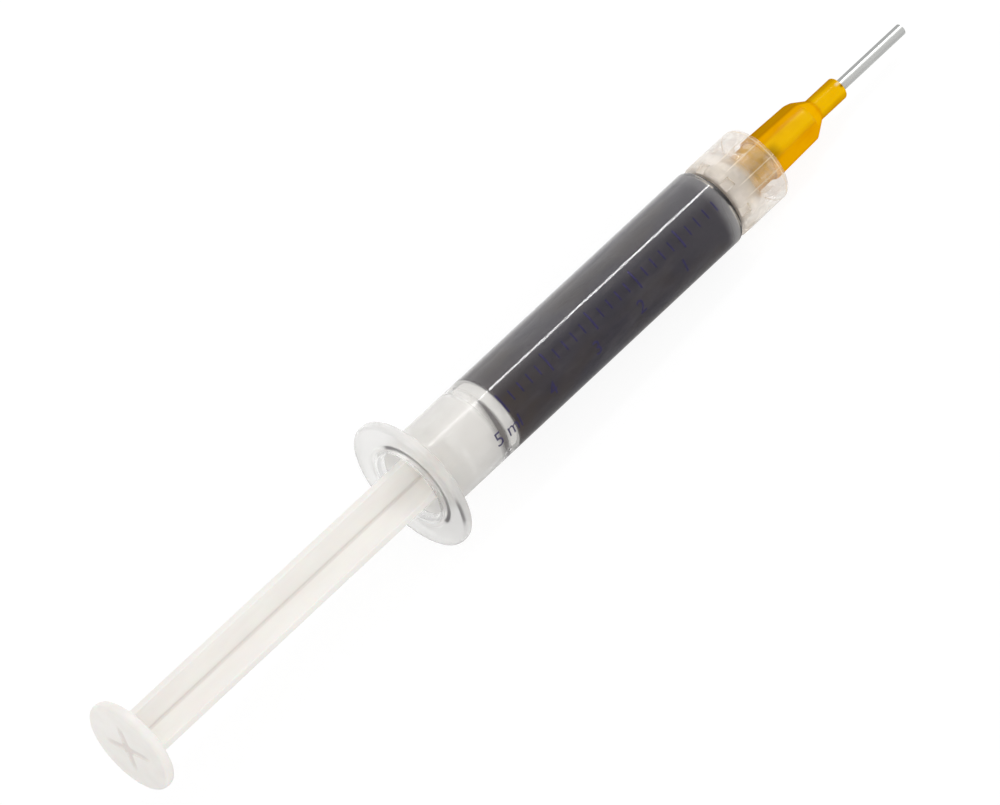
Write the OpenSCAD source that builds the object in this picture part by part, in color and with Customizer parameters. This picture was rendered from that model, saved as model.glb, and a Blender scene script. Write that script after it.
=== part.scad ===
// Hand syringe filled with solder paste, with a turning lock collar and a blunt steel tip.
// It lies on its side, on the rim of the finger flange and on one flat of the collar.
// Millimetres. Each piece is turned about its own axis, which runs along X towards the tip,
// with x = 0 on the rear face of the flange. laid_down() then tips the whole to its rest.

/* [Barrel] */
// Outside diameter of the tube
barrel_od = 13; // [12.8:0.1:14]
// Thickness of the tube's wall around the bore that the stopper runs in
barrel_wall = 0.75; // [0.65:0.05:0.9]
// Length from the flange's rear face to the end of the tube
barrel_len = 66; // [62:1:80]
// Thickness of the wall that closes the front of the bore
end_wall = 1; // [0.8:0.1:1.6]
// Outer rounding of the tube's front shoulder
shoulder_r = 1; // [0.6:0.1:1.4]
// Height of the ring inside the bore that keeps the plunger from falling out
bead_h = 0.15; // [0.1:0.01:0.2]
// Distance of that ring from the flange's rear face
bead_x = 4.4; // [3.6:0.1:4.6]

/* [Finger flange] */
// Diameter of the round finger flange
flange_od = 22; // [20:0.5:28]
// Thickness of the flange
flange_t = 1.7; // [1.5:0.1:2.4]
// Rounding of the flange's rim
flange_edge_r = 0.6; // [0.3:0.05:0.7]
// Fillet between the flange and the tube
flange_fillet_r = 0.7; // [0.4:0.1:1.2]

/* [Nose and nozzle] */
// Diameter of the journal that the collar turns on
journal_d = 9.2; // [8.8:0.1:9.4]
// Length of the journal behind the snap ring
journal_len = 1.9; // [1.7:0.1:2.4]
// How far the snap ring stands out of the journal
snap_h = 0.4; // [0.3:0.05:0.5]
// Length of the snap ring with its lead-in cone
snap_len = 1.3; // [1:0.1:1.6]
// Reach of the nozzle past the end of the tube
nozzle_reach = 11.65; // [11.4:0.05:12.4]
// Diameter of the nozzle at its tip
nozzle_tip_d = 3.93; // [3.9:0.01:3.96]
// Bore through the nozzle
nozzle_bore_d = 2.1; // [1.6:0.1:2.4]

/* [Lock collar] */
// Outside diameter of the collar across its round zones
collar_od = 12.7; // [12.3:0.1:13.2]
// Length of the collar
collar_len = 9.9; // [9.6:0.1:10.4]
// Rounding of the collar's outer edges
collar_edge_r = 0.7; // [0.4:0.1:0.9]
// Gap between the collar and the end of the tube
collar_gap = 0.3; // [0.2:0.05:0.5]
// Number of flats around the collar
flat_count = 8; // [6:1:10]
// Share of each division that is flat, in degrees
flat_angle = 19; // [14:1:24]
// Length of the grip notches in the rear rim
notch_len = 1.8; // [1.2:0.1:2.2]
// Depth of the grip notches
notch_depth = 0.5; // [0.3:0.05:0.6]
// Width of each grip notch
notch_w = 1.6; // [1:0.1:2.2]

/* [Lock thread] */
// Advance of the thread in one turn
thread_lead = 5; // [4.5:0.1:5.5]
// Number of thread starts, and of lugs on the tip
thread_starts = 2; // [2:1:2]
// Diameter at the root of the collar's thread
thread_major_d = 8.2; // [8.1:0.05:8.4]
// Diameter between the crests of the collar's thread
thread_minor_d = 7; // [6.9:0.05:7.1]
// Width of the thread ridge at its root
ridge_root_w = 1.1; // [0.9:0.05:1.2]
// Width of the thread ridge at its crest
ridge_crest_w = 0.5; // [0.4:0.05:0.6]

/* [Dispensing tip] */
// Diameter across the lugs
lug_d = 7.8; // [7.6:0.05:7.9]
// Width of a lug at its root
lug_root_w = 1.1; // [0.9:0.05:1.2]
// Width of a lug at its crest
lug_crest_w = 0.6; // [0.4:0.05:0.7]
// Angle that a lug reaches around the hub
lug_sweep = 45; // [30:5:60]
// Diameter of the hub's rear tube
hub_tube_d = 6.6; // [6.4:0.1:6.7]
// Diameter of the mouth of the hub's tapered socket
socket_mouth_d = 4.31; // [4.27:0.01:4.32]
// Depth of the tapered socket
socket_len = 8.4; // [7.6:0.2:9.4]
// Width across the corners of the grip at its rear end
grip_rear_d = 7.9; // [7.6:0.1:9]
// Width across the corners of the grip at its front end
grip_front_d = 7.3; // [7:0.1:7.6]
// Length of the six-sided grip
grip_len = 9.4; // [8:0.2:12]
// Length of the cone between the grip and the neck
cone_len = 2.8; // [2.2:0.1:4]
// Diameter of the neck
neck_d = 3.7; // [3.4:0.1:4]
// Length of the neck
neck_len = 5.6; // [4:0.2:8]
// Outside diameter of the cannula
cannula_od = 1.83; // [1.65:0.01:1.9]
// Bore of the cannula
cannula_id = 1.37; // [1.1:0.01:1.45]
// Length of the cannula in front of the neck
cannula_out = 14.3; // [6:0.1:25]
// Depth of the adhesive well at the end of the neck
well_depth = 0.6; // [0.4:0.1:0.9]
// Diameter of the adhesive well
well_d = 2.6; // [2.4:0.1:2.8]

/* [Plunger] */
// Diameter of the thumb rest
thumb_d = 15.4; // [14:0.2:20]
// Thickness of the thumb rest
thumb_t = 1.7; // [1.5:0.1:2.2]
// Rounding of the thumb rest's rim
thumb_edge_r = 0.6; // [0.3:0.05:0.7]
// Distance from the thumb rest's front face to the flange's rear face
plunger_out = 57.4; // [52:0.2:66]
// Width of the rod across opposite ribs
rod_d = 9.6; // [8.8:0.1:10]
// Thickness of each rib
rib_t = 1.2; // [1:0.05:1.5]
// Fillet where the ribs meet each other
rib_fillet_r = 0.3; // [0.2:0.05:0.8]
// Flare of the ribs where they meet the thumb rest
rib_flare = 0.7; // [0.4:0.1:1.2]
// Radial gap between the bore and the disc behind the stopper
disc_gap = 0.45; // [0.4:0.05:0.7]
// Thickness of that disc
disc_t = 1; // [0.8:0.1:1.4]
// Reach of each arm of the sink mark on the thumb face
sink_reach = 4.8; // [2.6:0.1:5.2]
// Width of the sink mark
sink_w = 0.9; // [0.6:0.1:1.2]
// Depth of the sink mark
sink_depth = 0.15; // [0.1:0.01:0.25]

/* [Stopper] */
// Distance from the flange's rear face to the stopper's front rim
fill_x = 16.8; // [15:0.2:40]
// Length of the stopper from its rear face to its front rim
stopper_len = 10.5; // [9.6:0.1:11]
// Width of the front lip
front_lip_w = 1.7; // [1.4:0.1:2]
// Width of the groove behind the front lip
groove_w = 2.2; // [1.8:0.1:2.4]
// Depth of that groove
groove_depth = 0.7; // [0.5:0.05:0.8]
// Width of the rear lip
rear_lip_w = 1.9; // [1.5:0.1:2.2]
// Depth of the waist between the lips
waist_depth = 0.3; // [0.2:0.05:0.5]
// Diameter of the stopper's flat front
nose_flat_d = 2.8; // [2.4:0.1:3.4]
// Height of the stopper's front cone
nose_cone_h = 1.4; // [1:0.1:1.8]
// Diameter of the head that holds the stopper on the rod
head_d = 6.4; // [5.6:0.1:7]
// Length of the head
head_len = 3.8; // [3.4:0.1:4.2]
// Diameter of the neck behind the head
head_neck_d = 4.4; // [4:0.1:4.8]
// Length of that neck
head_neck_len = 2; // [1.6:0.1:2.2]

/* [Clearances] */
// Radial clearance of the stopper's lips in the bore
lip_play = 0.03; // [0.02:0.005:0.05]
// Clearance around the paste
paste_play = 0.02; // [0.015:0.005:0.04]
// Radial clearance between the nozzle and the tip's socket
taper_play = 0.015; // [0.01:0.005:0.03]
// Radial clearance of the collar on its journal and snap ring
collar_play = 0.1; // [0.06:0.01:0.14]
// Clearance between a tightened lug and the thread's flank
thread_play = 0.06; // [0.04:0.01:0.1]
// Radial clearance of the cannula in the hub
glue_play = 0.03; // [0.02:0.005:0.05]
// Clearance of the head in the stopper's pocket
head_play = 0.1; // [0.05:0.01:0.15]

/* [Hidden] */

// Directions around the axis are in degrees from +Y towards +Z, so 270 is straight down.
down = 270;
rib_dir = 74.2;
grip_dir = 75.2;
smear_dir = 162;

// Finish of curves: faces around a turned piece, and steps in a quarter round
round_fn = 96;
arc_steps = 8;
// Angle between two sections of a helical ridge
helix_step = 7.5;
// Sections over which a ridge or a lug rises to its full height
fade_steps = 3;
// How far a ridge or lug is sunk in the wall that carries it
root_sink = 0.12;
// Length by which a cutter passes a face
over = 1;

// Taper of the nozzle and socket on the radius: 6 percent on the diameter
taper = 0.03;
// Slope of the stopper's lips and groove walls, along the axis
groove_edge = 0.25;

barrel_r = barrel_od / 2;
bore_r = barrel_r - barrel_wall;
disc_r = bore_r - disc_gap;
flange_r = flange_od / 2;
journal_r = journal_d / 2;
snap_r = journal_r + snap_h;
collar_r = collar_od / 2;
thread_major_r = thread_major_d / 2;
thread_minor_r = thread_minor_d / 2;
pitch = thread_lead / thread_starts;

// Stations along the axis
floor_x = barrel_len - end_wall;
snap_x = barrel_len + journal_len;
nose_x = snap_x + snap_len;
nozzle_x = barrel_len + nozzle_reach;
collar_x = barrel_len + collar_gap;
collar_end = collar_x + collar_len;
collar_groove_x = snap_x - collar_play;
chamber_x = nose_x + 3 * collar_play;
socket_x = nozzle_x - (socket_mouth_d / 2 - taper_play - nozzle_tip_d / 2) / taper;
grip_x = collar_end + collar_gap;
cone_x = grip_x + grip_len;
neck_x = cone_x + cone_len;
neck_end = neck_x + neck_len;
cannula_end = neck_end + cannula_out;
thumb_x = -plunger_out - thumb_t;
stopper_x = fill_x - stopper_len;
groove_x = fill_x - front_lip_w - groove_w;
disc_x = stopper_x - disc_t;

// The same slope serves the stopper's front cone and the floor of the bore.
lip_r = bore_r - lip_play;
nose_slope = nose_cone_h / (lip_r - nose_flat_d / 2);

// Lug centres: the lugs sit just behind a ridge when the collar is tight
lug_x = socket_x + lug_root_w / 2 + thread_play;
lug_dir = 194;
lug_r = lug_d / 2;
// Half width of a flank at the radius where ridge and lug meet
ridge_half = ridge_crest_w / 2 + (lug_r - thread_minor_r) * (ridge_root_w - ridge_crest_w)
    / (thread_major_d - thread_minor_d);
lug_to_ridge = ridge_half + lug_crest_w / 2 + thread_play;
ridge_front_x = collar_end - collar_gap - ridge_root_w / 2;
ridge_sweep = 360 * (ridge_front_x - chamber_x - ridge_root_w / 2) / thread_lead;

// Rest: the rim of the flange and the front edge of one collar flat touch the table.
flat_half = flat_angle / 2;
flat_r = collar_r * cos(flat_half);
rear_foot_x = flange_t - flange_edge_r;
rear_foot_r = flange_r - flange_edge_r;
front_foot_x = collar_end - collar_edge_r;
front_foot_r = flat_r - collar_edge_r;
foot_run = front_foot_x - rear_foot_x;
foot_drop = rear_foot_r - front_foot_r;
foot_span = sqrt(foot_run * foot_run + foot_drop * foot_drop);
tilt = atan2(foot_drop, foot_run) + asin((flange_edge_r - collar_edge_r) / foot_span);
axis_z = rear_foot_x * sin(tilt) + rear_foot_r * cos(tilt) + flange_edge_r;

// Middle of the whole length as it lies, which becomes x = 0
rear_most = (thumb_x + thumb_edge_r) * cos(tilt) - (thumb_d / 2 - thumb_edge_r) * sin(tilt)
    - thumb_edge_r;
front_most = cannula_end * cos(tilt) + cannula_od / 2 * sin(tilt);
mid_x = (rear_most + front_most) / 2;

// Points of a round stretch of an outline, from angle a0 to angle a1 about [cx, cy]
function arc(cx, cy, r, a0, a1) =
    [for (i = [0:arc_steps]) let (a = a0 + (a1 - a0) * i / arc_steps) [cx + r * cos(a), cy + r * sin(a)]];

// Radius of the nozzle at station x
function nozzle_r(x) = nozzle_tip_d / 2 + taper * (nozzle_x - x);

// Radius of the socket at station x
function socket_r(x) = socket_mouth_d / 2 - taper * (x - socket_x);

// Puts a piece that is drawn on the X axis where it lies on the table
module laid_down() {
    translate([-mid_x, 0, axis_z]) rotate([0, tilt, 0]) children();
}

// A solid of revolution about the X axis, from points [radius, x]
module turned(outline) {
    rotate([0, 90, 0]) rotate_extrude($fn = round_fn) polygon(outline);
}

// A flat shape in the Y-Z plane, drawn out along X from x0
module drawn_out(x0, length) {
    translate([x0, 0, 0]) rotate([90, 0, 90]) linear_extrude(length) children();
}

// Turns a feature that points along +Y to another direction around the axis
module facing(direction) {
    rotate([direction, 0, 0]) children();
}

// A tapered ridge on a helix of the thread's lead. It starts at station x0 in direction dir0,
// rises from the radius r_root to r_crest, and fades out at both ends.
module helix_ridge(x0, dir0, sweep, r_root, r_crest, root_w, crest_w) {
    steps = ceil(sweep / helix_step);
    points = [
        for (i = [0:steps])
            let (
                turn = sweep * i / steps,
                dir = dir0 + turn,
                x = x0 + thread_lead * turn / 360,
                rise = min(1, (i + 1) / fade_steps, (steps - i + 1) / fade_steps),
                top = r_root + (r_crest - r_root) * rise
            )
            for (p = [[r_root, -root_w / 2], [top, -crest_w / 2], [top, crest_w / 2], [r_root, root_w / 2]])
                [x + p[1], p[0] * cos(dir), p[0] * sin(dir)]
    ];
    sides = [
        for (i = [0:steps - 1], k = [0:3])
            [4 * i + k, 4 * i + (k + 1) % 4, 4 * (i + 1) + (k + 1) % 4, 4 * (i + 1) + k]
    ];
    ends = [[3, 2, 1, 0], [for (k = [0:3]) 4 * steps + k]];
    faces = concat(sides, ends);
    outward = r_crest > r_root;
    polyhedron(points, outward ? faces : [for (f = faces) [for (k = [len(f) - 1:-1:0]) f[k]]]);
}

// One moulding: finger flange, tube, shoulder, journal with its snap ring, and tapered nozzle
module barrel() {
    color([0.86, 0.88, 0.88, 0.35]) laid_down() difference() {
        turned(concat(
            [[0, 0]],
            arc(flange_r - flange_edge_r, flange_edge_r, flange_edge_r, -90, 0),
            arc(flange_r - flange_edge_r, flange_t - flange_edge_r, flange_edge_r, 0, 90),
            arc(barrel_r + flange_fillet_r, flange_t + flange_fillet_r, flange_fillet_r, -90, -180),
            arc(barrel_r - shoulder_r, barrel_len - shoulder_r, shoulder_r, 0, 90),
            [
                [journal_r, barrel_len], [journal_r, snap_x], [snap_r, snap_x],
                [snap_r, snap_x + snap_len / 3], [journal_r - snap_h / 2, nose_x],
                [nozzle_r(nose_x), nose_x], [nozzle_r(nozzle_x), nozzle_x], [0, nozzle_x]
            ]
        ));
        barrel_bore();
    }
}

// The space inside the barrel, with a lead-in, the keeper ring, and the floor's cone
module barrel_bore() {
    bead_half = 2 * bead_h;
    lead_in = 0.4;
    hole_r = nozzle_bore_d / 2;
    turned([
        [0, -over], [bore_r + lead_in, -over], [bore_r + lead_in, 0], [bore_r, lead_in],
        [bore_r, bead_x - bead_half], [bore_r - bead_h, bead_x], [bore_r, bead_x + bead_half],
        [bore_r, floor_x], [hole_r, floor_x + (bore_r - hole_r) * nose_slope],
        [hole_r, nozzle_x + over], [0, nozzle_x + over]
    ]);
}

// Frosted collar: turned body, flats, rim notches, a groove for the snap ring, and the thread
module lock_collar() {
    color([0.9, 0.88, 0.86, 0.6]) laid_down() {
        difference() {
            intersection() {
                turned(concat(
                    [[0, collar_x]],
                    arc(collar_r - collar_edge_r, collar_x + collar_edge_r, collar_edge_r, -90, 0),
                    arc(collar_r - collar_edge_r, collar_end - collar_edge_r, collar_edge_r, 0, 90),
                    [[0, collar_end]]
                ));
                collar_flats();
            }
            collar_inside();
            collar_notches();
        }
        collar_thread();
    }
}

// A prism whose sides cut the flats and whose corners stand clear of the round zones
module collar_flats() {
    division = 360 / flat_count;
    drawn_out(collar_x - over, collar_len + 2 * over)
        rotate(down + division / 2) circle(r = flat_r / cos(division / 2), $fn = flat_count);
}

// The hole through the collar: rear lip, snap groove, thread chamber and mouth
module collar_inside() {
    lip_hole = journal_r + collar_play;
    groove_r = snap_r + collar_play;
    turned([
        [0, collar_x - over], [lip_hole, collar_x - over], [lip_hole, collar_groove_x],
        [groove_r, collar_groove_x], [groove_r, chamber_x - (groove_r - thread_major_r) / 2],
        [thread_major_r, chamber_x], [thread_major_r, collar_end - collar_gap],
        [thread_major_r + collar_gap, collar_end], [thread_major_r + collar_gap, collar_end + over],
        [0, collar_end + over]
    ]);
}

// Short grip notches in the rear rim, one in the middle of each round zone
module collar_notches() {
    division = 360 / flat_count;
    for (i = [0:flat_count - 1])
        facing(down + (i + 0.5) * division)
            translate([collar_x - over, collar_r - notch_depth, -notch_w / 2])
                cube([notch_len + over, notch_depth + over, notch_w]);
}

// Thread ridges on the wall of the chamber, in mesh with the lugs
module collar_thread() {
    // Turn from the ridge's start to the direction of the first lug
    lead_turn = 360 * (ridge_front_x - lug_x - lug_to_ridge) / thread_lead;
    for (i = [0:thread_starts - 1])
        helix_ridge(
            ridge_front_x - thread_lead * ridge_sweep / 360,
            lug_dir + lead_turn - ridge_sweep + i * 360 / thread_starts,
            ridge_sweep, thread_major_r + root_sink, thread_minor_r,
            ridge_root_w, ridge_crest_w
        );
}

// One moulding: thumb rest, four ribs, disc behind the stopper, and the head inside it
module plunger_rod() {
    color([0.95, 0.95, 0.94]) laid_down() {
        thumb_rest();
        ribs();
        turned([[0, disc_x], [disc_r, disc_x], [disc_r, stopper_x], [0, stopper_x]]);
        rod_head(0);
    }
}

// Round thumb rest with the cross-shaped sink mark of the ribs behind it
module thumb_rest() {
    thumb_r = thumb_d / 2;
    front = thumb_x + thumb_t;
    difference() {
        turned(concat(
            [[0, thumb_x]],
            arc(thumb_r - thumb_edge_r, thumb_x + thumb_edge_r, thumb_edge_r, -90, 0),
            arc(thumb_r - thumb_edge_r, front - thumb_edge_r, thumb_edge_r, 0, 90),
            [[0, front]]
        ));
        for (i = [0:3])
            facing(rib_dir + 90 * i)
                translate([thumb_x - over, 0, 0]) rotate([0, 90, 0]) linear_extrude(over + sink_depth) {
                    translate([-sink_w / 2, 0]) square([sink_w, sink_reach - sink_w / 2]);
                    translate([0, sink_reach - sink_w / 2]) circle(d = sink_w, $fn = 24);
                }
    }
}

// The four ribs, trimmed to a round envelope that flares at the thumb rest
module ribs() {
    rod_r = rod_d / 2;
    front = thumb_x + thumb_t;
    intersection() {
        drawn_out(front, disc_x - front) rotate(rib_dir) rib_cross();
        turned([
            [0, front], [rod_r + rib_flare, front], [rod_r, front + rib_flare],
            [rod_r, disc_x], [0, disc_x]
        ]);
    }
}

// Cross section of the ribs, with a fillet in each of the four corners
module rib_cross() {
    reach = rod_d / 2 + rib_flare + over;
    corner = rib_t / 2 + rib_fillet_r;
    for (i = [0:3]) rotate(90 * i) {
        translate([0, -rib_t / 2]) square([reach, rib_t]);
        difference() {
            square(corner);
            translate([corner, corner]) circle(r = rib_fillet_r, $fn = 32);
        }
    }
}

// The head that snaps into the stopper, grown by play for the pocket
module rod_head(play) {
    neck_r = head_neck_d / 2 + play;
    top_r = head_d / 2 + play;
    x1 = stopper_x + head_neck_len - play;
    x2 = stopper_x + head_neck_len + head_len + play;
    turned([
        [0, stopper_x - play], [neck_r, stopper_x - play], [neck_r, x1], [top_r, x1],
        [top_r, x1 + head_len / 3], [neck_r / 2, x2], [0, x2]
    ]);
}

// Soft stopper with a front and a rear lip, a groove, a waist, and a pocket for the head
module stopper() {
    edge = groove_edge;
    groove_r = lip_r - groove_depth;
    waist_r = lip_r - waist_depth;
    color([0.9, 0.89, 0.87]) laid_down() difference() {
        turned([
            [0, stopper_x], [lip_r - edge, stopper_x], [lip_r, stopper_x + edge],
            [lip_r, stopper_x + rear_lip_w - edge], [waist_r, stopper_x + rear_lip_w],
            [waist_r, groove_x - edge], [groove_r, groove_x], [groove_r, groove_x + groove_w - edge],
            [lip_r, groove_x + groove_w], [lip_r, fill_x], [nose_flat_d / 2, fill_x + nose_cone_h],
            [0, fill_x + nose_cone_h]
        ]);
        rod_head(head_play);
    }
}

// The filling: a column from the stopper to the floor, and the thin core inside the nozzle
module solder_paste() {
    r = bore_r - paste_play;
    core_r = nozzle_bore_d / 2 - paste_play;
    rear = fill_x + 2 * paste_play;
    front = floor_x - paste_play;
    color([0.35, 0.34, 0.36]) laid_down() turned([
        [0, rear + nose_cone_h], [nose_flat_d / 2, rear + nose_cone_h], [r, rear], [r, front],
        [core_r, front + (r - core_r) * nose_slope], [core_r, nozzle_x], [0, nozzle_x]
    ]);
}

// The crescent of paste caught behind the stopper's front lip, cut to shape by a slanting plane
module paste_smear() {
    inner = lip_r - groove_depth + paste_play;
    outer = lip_r - paste_play;
    x0 = groove_x + paste_play;
    x1 = groove_x + groove_w - groove_edge - paste_play;
    mean_w = -0.55;
    slant = 14.5;
    color([0.4, 0.39, 0.4]) laid_down() difference() {
        turned([[inner, x0], [outer, x0], [outer, x1], [inner, x1]]);
        facing(smear_dir) translate([x1 - mean_w, 0, 0]) rotate([0, 0, slant])
            translate([-2 * bore_r, -2 * bore_r, -2 * bore_r]) cube([2 * bore_r, 4 * bore_r, 4 * bore_r]);
    }
}

// Amber hub: rear tube with two lugs, six-sided grip, cone and neck, all bored through
module tip_hub() {
    color([0.86, 0.6, 0.03]) laid_down() difference() {
        union() {
            hub_grip();
            turned([[0, socket_x], [hub_tube_d / 2, socket_x], [hub_tube_d / 2, grip_x + over], [0, grip_x + over]]);
            for (i = [0:thread_starts - 1])
                helix_ridge(
                    lug_x - thread_lead * lug_sweep / 720,
                    lug_dir - lug_sweep / 2 + i * 360 / thread_starts,
                    lug_sweep, hub_tube_d / 2 - root_sink, lug_r, lug_root_w, lug_crest_w
                );
        }
        hub_inside();
    }
}

// The grip is a tapered hexagonal prism, trimmed by a turned outline that also makes the neck
module hub_grip() {
    corner_trim = 0.12;
    chamfer = 0.3;
    rear_r = grip_rear_d / 2;
    front_r = grip_front_d / 2;
    intersection() {
        facing(grip_dir - down) translate([grip_x, 0, 0]) rotate([0, 90, 0])
            cylinder(h = grip_len + cone_len + neck_len, r1 = rear_r,
                r2 = rear_r - (rear_r - front_r) * (grip_len + cone_len + neck_len) / grip_len, $fn = 6);
        turned([
            [0, grip_x], [rear_r - corner_trim - chamfer, grip_x], [rear_r - corner_trim, grip_x + chamfer],
            [front_r - corner_trim, cone_x], [neck_d / 2, neck_x], [neck_d / 2, neck_end - chamfer],
            [neck_d / 2 - chamfer, neck_end], [0, neck_end]
        ]);
    }
}

// Inside the hub: tapered socket, funnel, seat of the cannula, and the adhesive well
module hub_inside() {
    seat_r = cannula_od / 2 + glue_play;
    socket_end = socket_x + socket_len;
    turned([
        [0, socket_x - over], [socket_r(socket_x - over), socket_x - over],
        [socket_r(socket_end), socket_end], [cannula_id / 2, cannula_x()], [seat_r, cannula_x()],
        [seat_r, neck_end - well_depth], [well_d / 2, neck_end - well_depth],
        [well_d / 2, neck_end + over], [0, neck_end + over]
    ]);
}

// Station of the cannula's rear end, on the ledge at the end of the funnel
function cannula_x() = cone_x + glue_play;

// Blunt steel tube
module cannula() {
    color([0.72, 0.72, 0.74]) laid_down() turned([
        [cannula_id / 2, cannula_x() + glue_play], [cannula_od / 2, cannula_x() + glue_play],
        [cannula_od / 2, cannula_end], [cannula_id / 2, cannula_end]
    ]);
}

// The bead that fills the well around the cannula and stands a little proud
module adhesive_bead() {
    inner = cannula_od / 2 + glue_play / 2;
    outer = well_d / 2 - glue_play / 2;
    rear = neck_end - well_depth + glue_play / 2;
    proud = 0.35;
    color([0.85, 0.75, 0.55]) laid_down() turned([
        [inner, rear], [outer, rear], [outer, neck_end], [(inner + outer) / 2, neck_end + proud * 0.7],
        [inner, neck_end + proud]
    ]);
}

barrel();
lock_collar();
plunger_rod();
stopper();
solder_paste();
paste_smear();
tip_hub();
cannula();
adhesive_bead();
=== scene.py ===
"""Hand syringe filled with solder paste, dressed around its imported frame.

Sizes in the classes are millimetres in the syringe's own frame: x runs along its axis towards the
steel tip from the rear face of the finger flange, and directions around the axis are in degrees
from +Y towards +Z. Rest lays a finished mesh down in the row frame, in metres.
"""

import logging
import math
from abc import ABC, abstractmethod
from dataclasses import dataclass
from enum import Enum
from typing import Callable, Sequence, Union

import bmesh
import bpy
from mathutils import Matrix, Vector


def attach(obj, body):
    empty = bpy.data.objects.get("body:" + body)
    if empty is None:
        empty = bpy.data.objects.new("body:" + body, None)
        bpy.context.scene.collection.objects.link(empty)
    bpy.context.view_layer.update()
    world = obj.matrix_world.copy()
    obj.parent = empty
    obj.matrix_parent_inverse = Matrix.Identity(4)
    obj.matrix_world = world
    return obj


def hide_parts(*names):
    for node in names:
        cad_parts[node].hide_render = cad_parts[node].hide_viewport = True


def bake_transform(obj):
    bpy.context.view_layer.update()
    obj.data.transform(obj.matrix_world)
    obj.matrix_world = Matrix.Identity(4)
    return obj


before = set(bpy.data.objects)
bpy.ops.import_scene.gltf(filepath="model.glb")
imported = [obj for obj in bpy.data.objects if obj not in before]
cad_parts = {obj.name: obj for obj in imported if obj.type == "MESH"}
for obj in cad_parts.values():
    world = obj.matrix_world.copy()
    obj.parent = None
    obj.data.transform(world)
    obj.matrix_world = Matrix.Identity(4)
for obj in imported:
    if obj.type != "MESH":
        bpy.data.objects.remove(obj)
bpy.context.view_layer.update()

log = logging.getLogger("syringe")

Object = bpy.types.Object
Material = bpy.types.Material
Outline = list[tuple[float, float]]
Corners = Sequence[tuple[float, ...]]    # station, radius and, where it is round, the rounding
Span = tuple[float, float]
Mask = tuple[float, ...]                 # what Wire.ramp() or Wire.between() takes
Colour = tuple[float, float, float]
Grain = tuple[float, float, Colour]      # lumps in a mm, octaves, and scale along each axis
Amount = Union["Wire", float]

MM = 0.001
MERGE_MM = 0.0005        # points nearer than this become one
NEAR_MM = 0.001          # how exactly a pick has to hit
CIRCLE = 360
FRONT = 119.2            # the direction around the axis that faces the camera
BELOW = 270              # the direction around the axis that faces the table
VIEW_SLOPE = 24.3        # how far the photograph looks along the axis instead of square to it
PLASTIC_IOR = 1.49
MIDDLE = (0.3, 0.7)      # the values between which most of a noise lies
PORE_MM = 0.01           # depth of the fine relief on a moulded or drawn surface
WHITE = (1.0, 1.0, 1.0)


class Pick(Enum):
    """What Bench.pick() selects."""

    POINTS = "VERT"
    EDGES = "EDGE"


class Cut(Enum):
    """What Bench.cut() leaves of the work and the other shape."""

    REST = "DIFFERENCE"
    BOTH = "UNION"
    COMMON = "INTERSECT"


class Body(Enum):
    """The bodies of the frame that carry the pieces."""

    BARREL = "barrel"
    PLUNGER = "plunger"
    COLLAR = "collar"
    TIP = "tip"


def paint(red: int, green: int, blue: int) -> Colour:
    """Turns a screen colour into linear light.

    Args:
        red, green, blue: from 0 to 255, as a picture stores them.

    Returns:
        The three linear parts, from 0 to 1.
    """
    knee, foot, lift, power = 0.04045, 12.92, 0.055, 2.4
    shares = (part / 255 for part in (red, green, blue))
    return tuple(s / foot if s <= knee else ((s + lift) / (1 + lift)) ** power for s in shares)


def spoke(around: float) -> Vector:
    """The unit vector that points away from the axis at that angle, on the bench."""
    turn = math.radians(around)
    return Vector((0, math.cos(turn), math.sin(turn)))


def about(around: float) -> Matrix:
    """A turn about the axis by that many degrees, on the bench."""
    return Matrix.Rotation(math.radians(around), 4, "X")


@dataclass(frozen=True)
class Rest:
    """How the syringe lies on the table: on the flange's rim and one flat of the collar."""

    tilt_deg: float = 3.642979
    axis_z: float = 11.048878
    mid_x: float = 24.502888

    def matrix(self) -> Matrix:
        """From the syringe's millimetres to the row frame's metres."""
        turn = Matrix.Rotation(math.radians(self.tilt_deg), 4, "Y")
        return Matrix.Scale(MM, 4) @ Matrix.Translation((-self.mid_x, 0, self.axis_z)) @ turn

    def point(self, x: float, radius: float = 0.0, around: float = 0.0) -> Vector:
        """A point of the row frame.

        Args:
            x: station along the axis, in mm.
            radius: distance from the axis, in mm.
            around: direction around the axis, in degrees.

        Returns:
            The place in metres.
        """
        return self.matrix() @ (Vector((x, 0, 0)) + spoke(around) * radius)

    def direction(self, around: float) -> Vector:
        """The unit vector that points away from the axis at that angle."""
        return (self.point(0, 1, around) - self.point(0)).normalized()

    def forward(self) -> Vector:
        """The unit vector along the axis, towards the steel tip."""
        return (self.point(1) - self.point(0)).normalized()


REST = Rest()


def softened(corners: Corners, step_deg: float = 11.25) -> Outline:
    """Rounds the corners of an outline with small arcs.

    Args:
        corners: the outline's corners, in order.
        step_deg: the largest turn between two points of an arc.

    Returns:
        The points of the outline, in order.
    """
    points: Outline = []
    for i, corner in enumerate(corners):
        here = Vector(corner[:2])
        size = corner[2] if len(corner) > 2 else 0.0
        if not size:
            points.append(tuple(here))
            continue
        back = (Vector(corners[i - 1][:2]) - here).normalized()
        ahead = (Vector(corners[(i + 1) % len(corners)][:2]) - here).normalized()
        half = back.angle(ahead) / 2
        centre = here + (back + ahead).normalized() * size / math.sin(half)
        start = here + back * size / math.tan(half) - centre
        sweep = math.pi - 2 * half
        if start.x * back.y - start.y * back.x > 0:
            sweep = -sweep
        steps = max(2, math.ceil(abs(math.degrees(sweep)) / step_deg))
        for k in range(steps + 1):
            turn = math.atan2(start.y, start.x) + sweep * k / steps
            points.append((centre.x + size * math.cos(turn), centre.y + size * math.sin(turn)))
    return points


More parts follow.
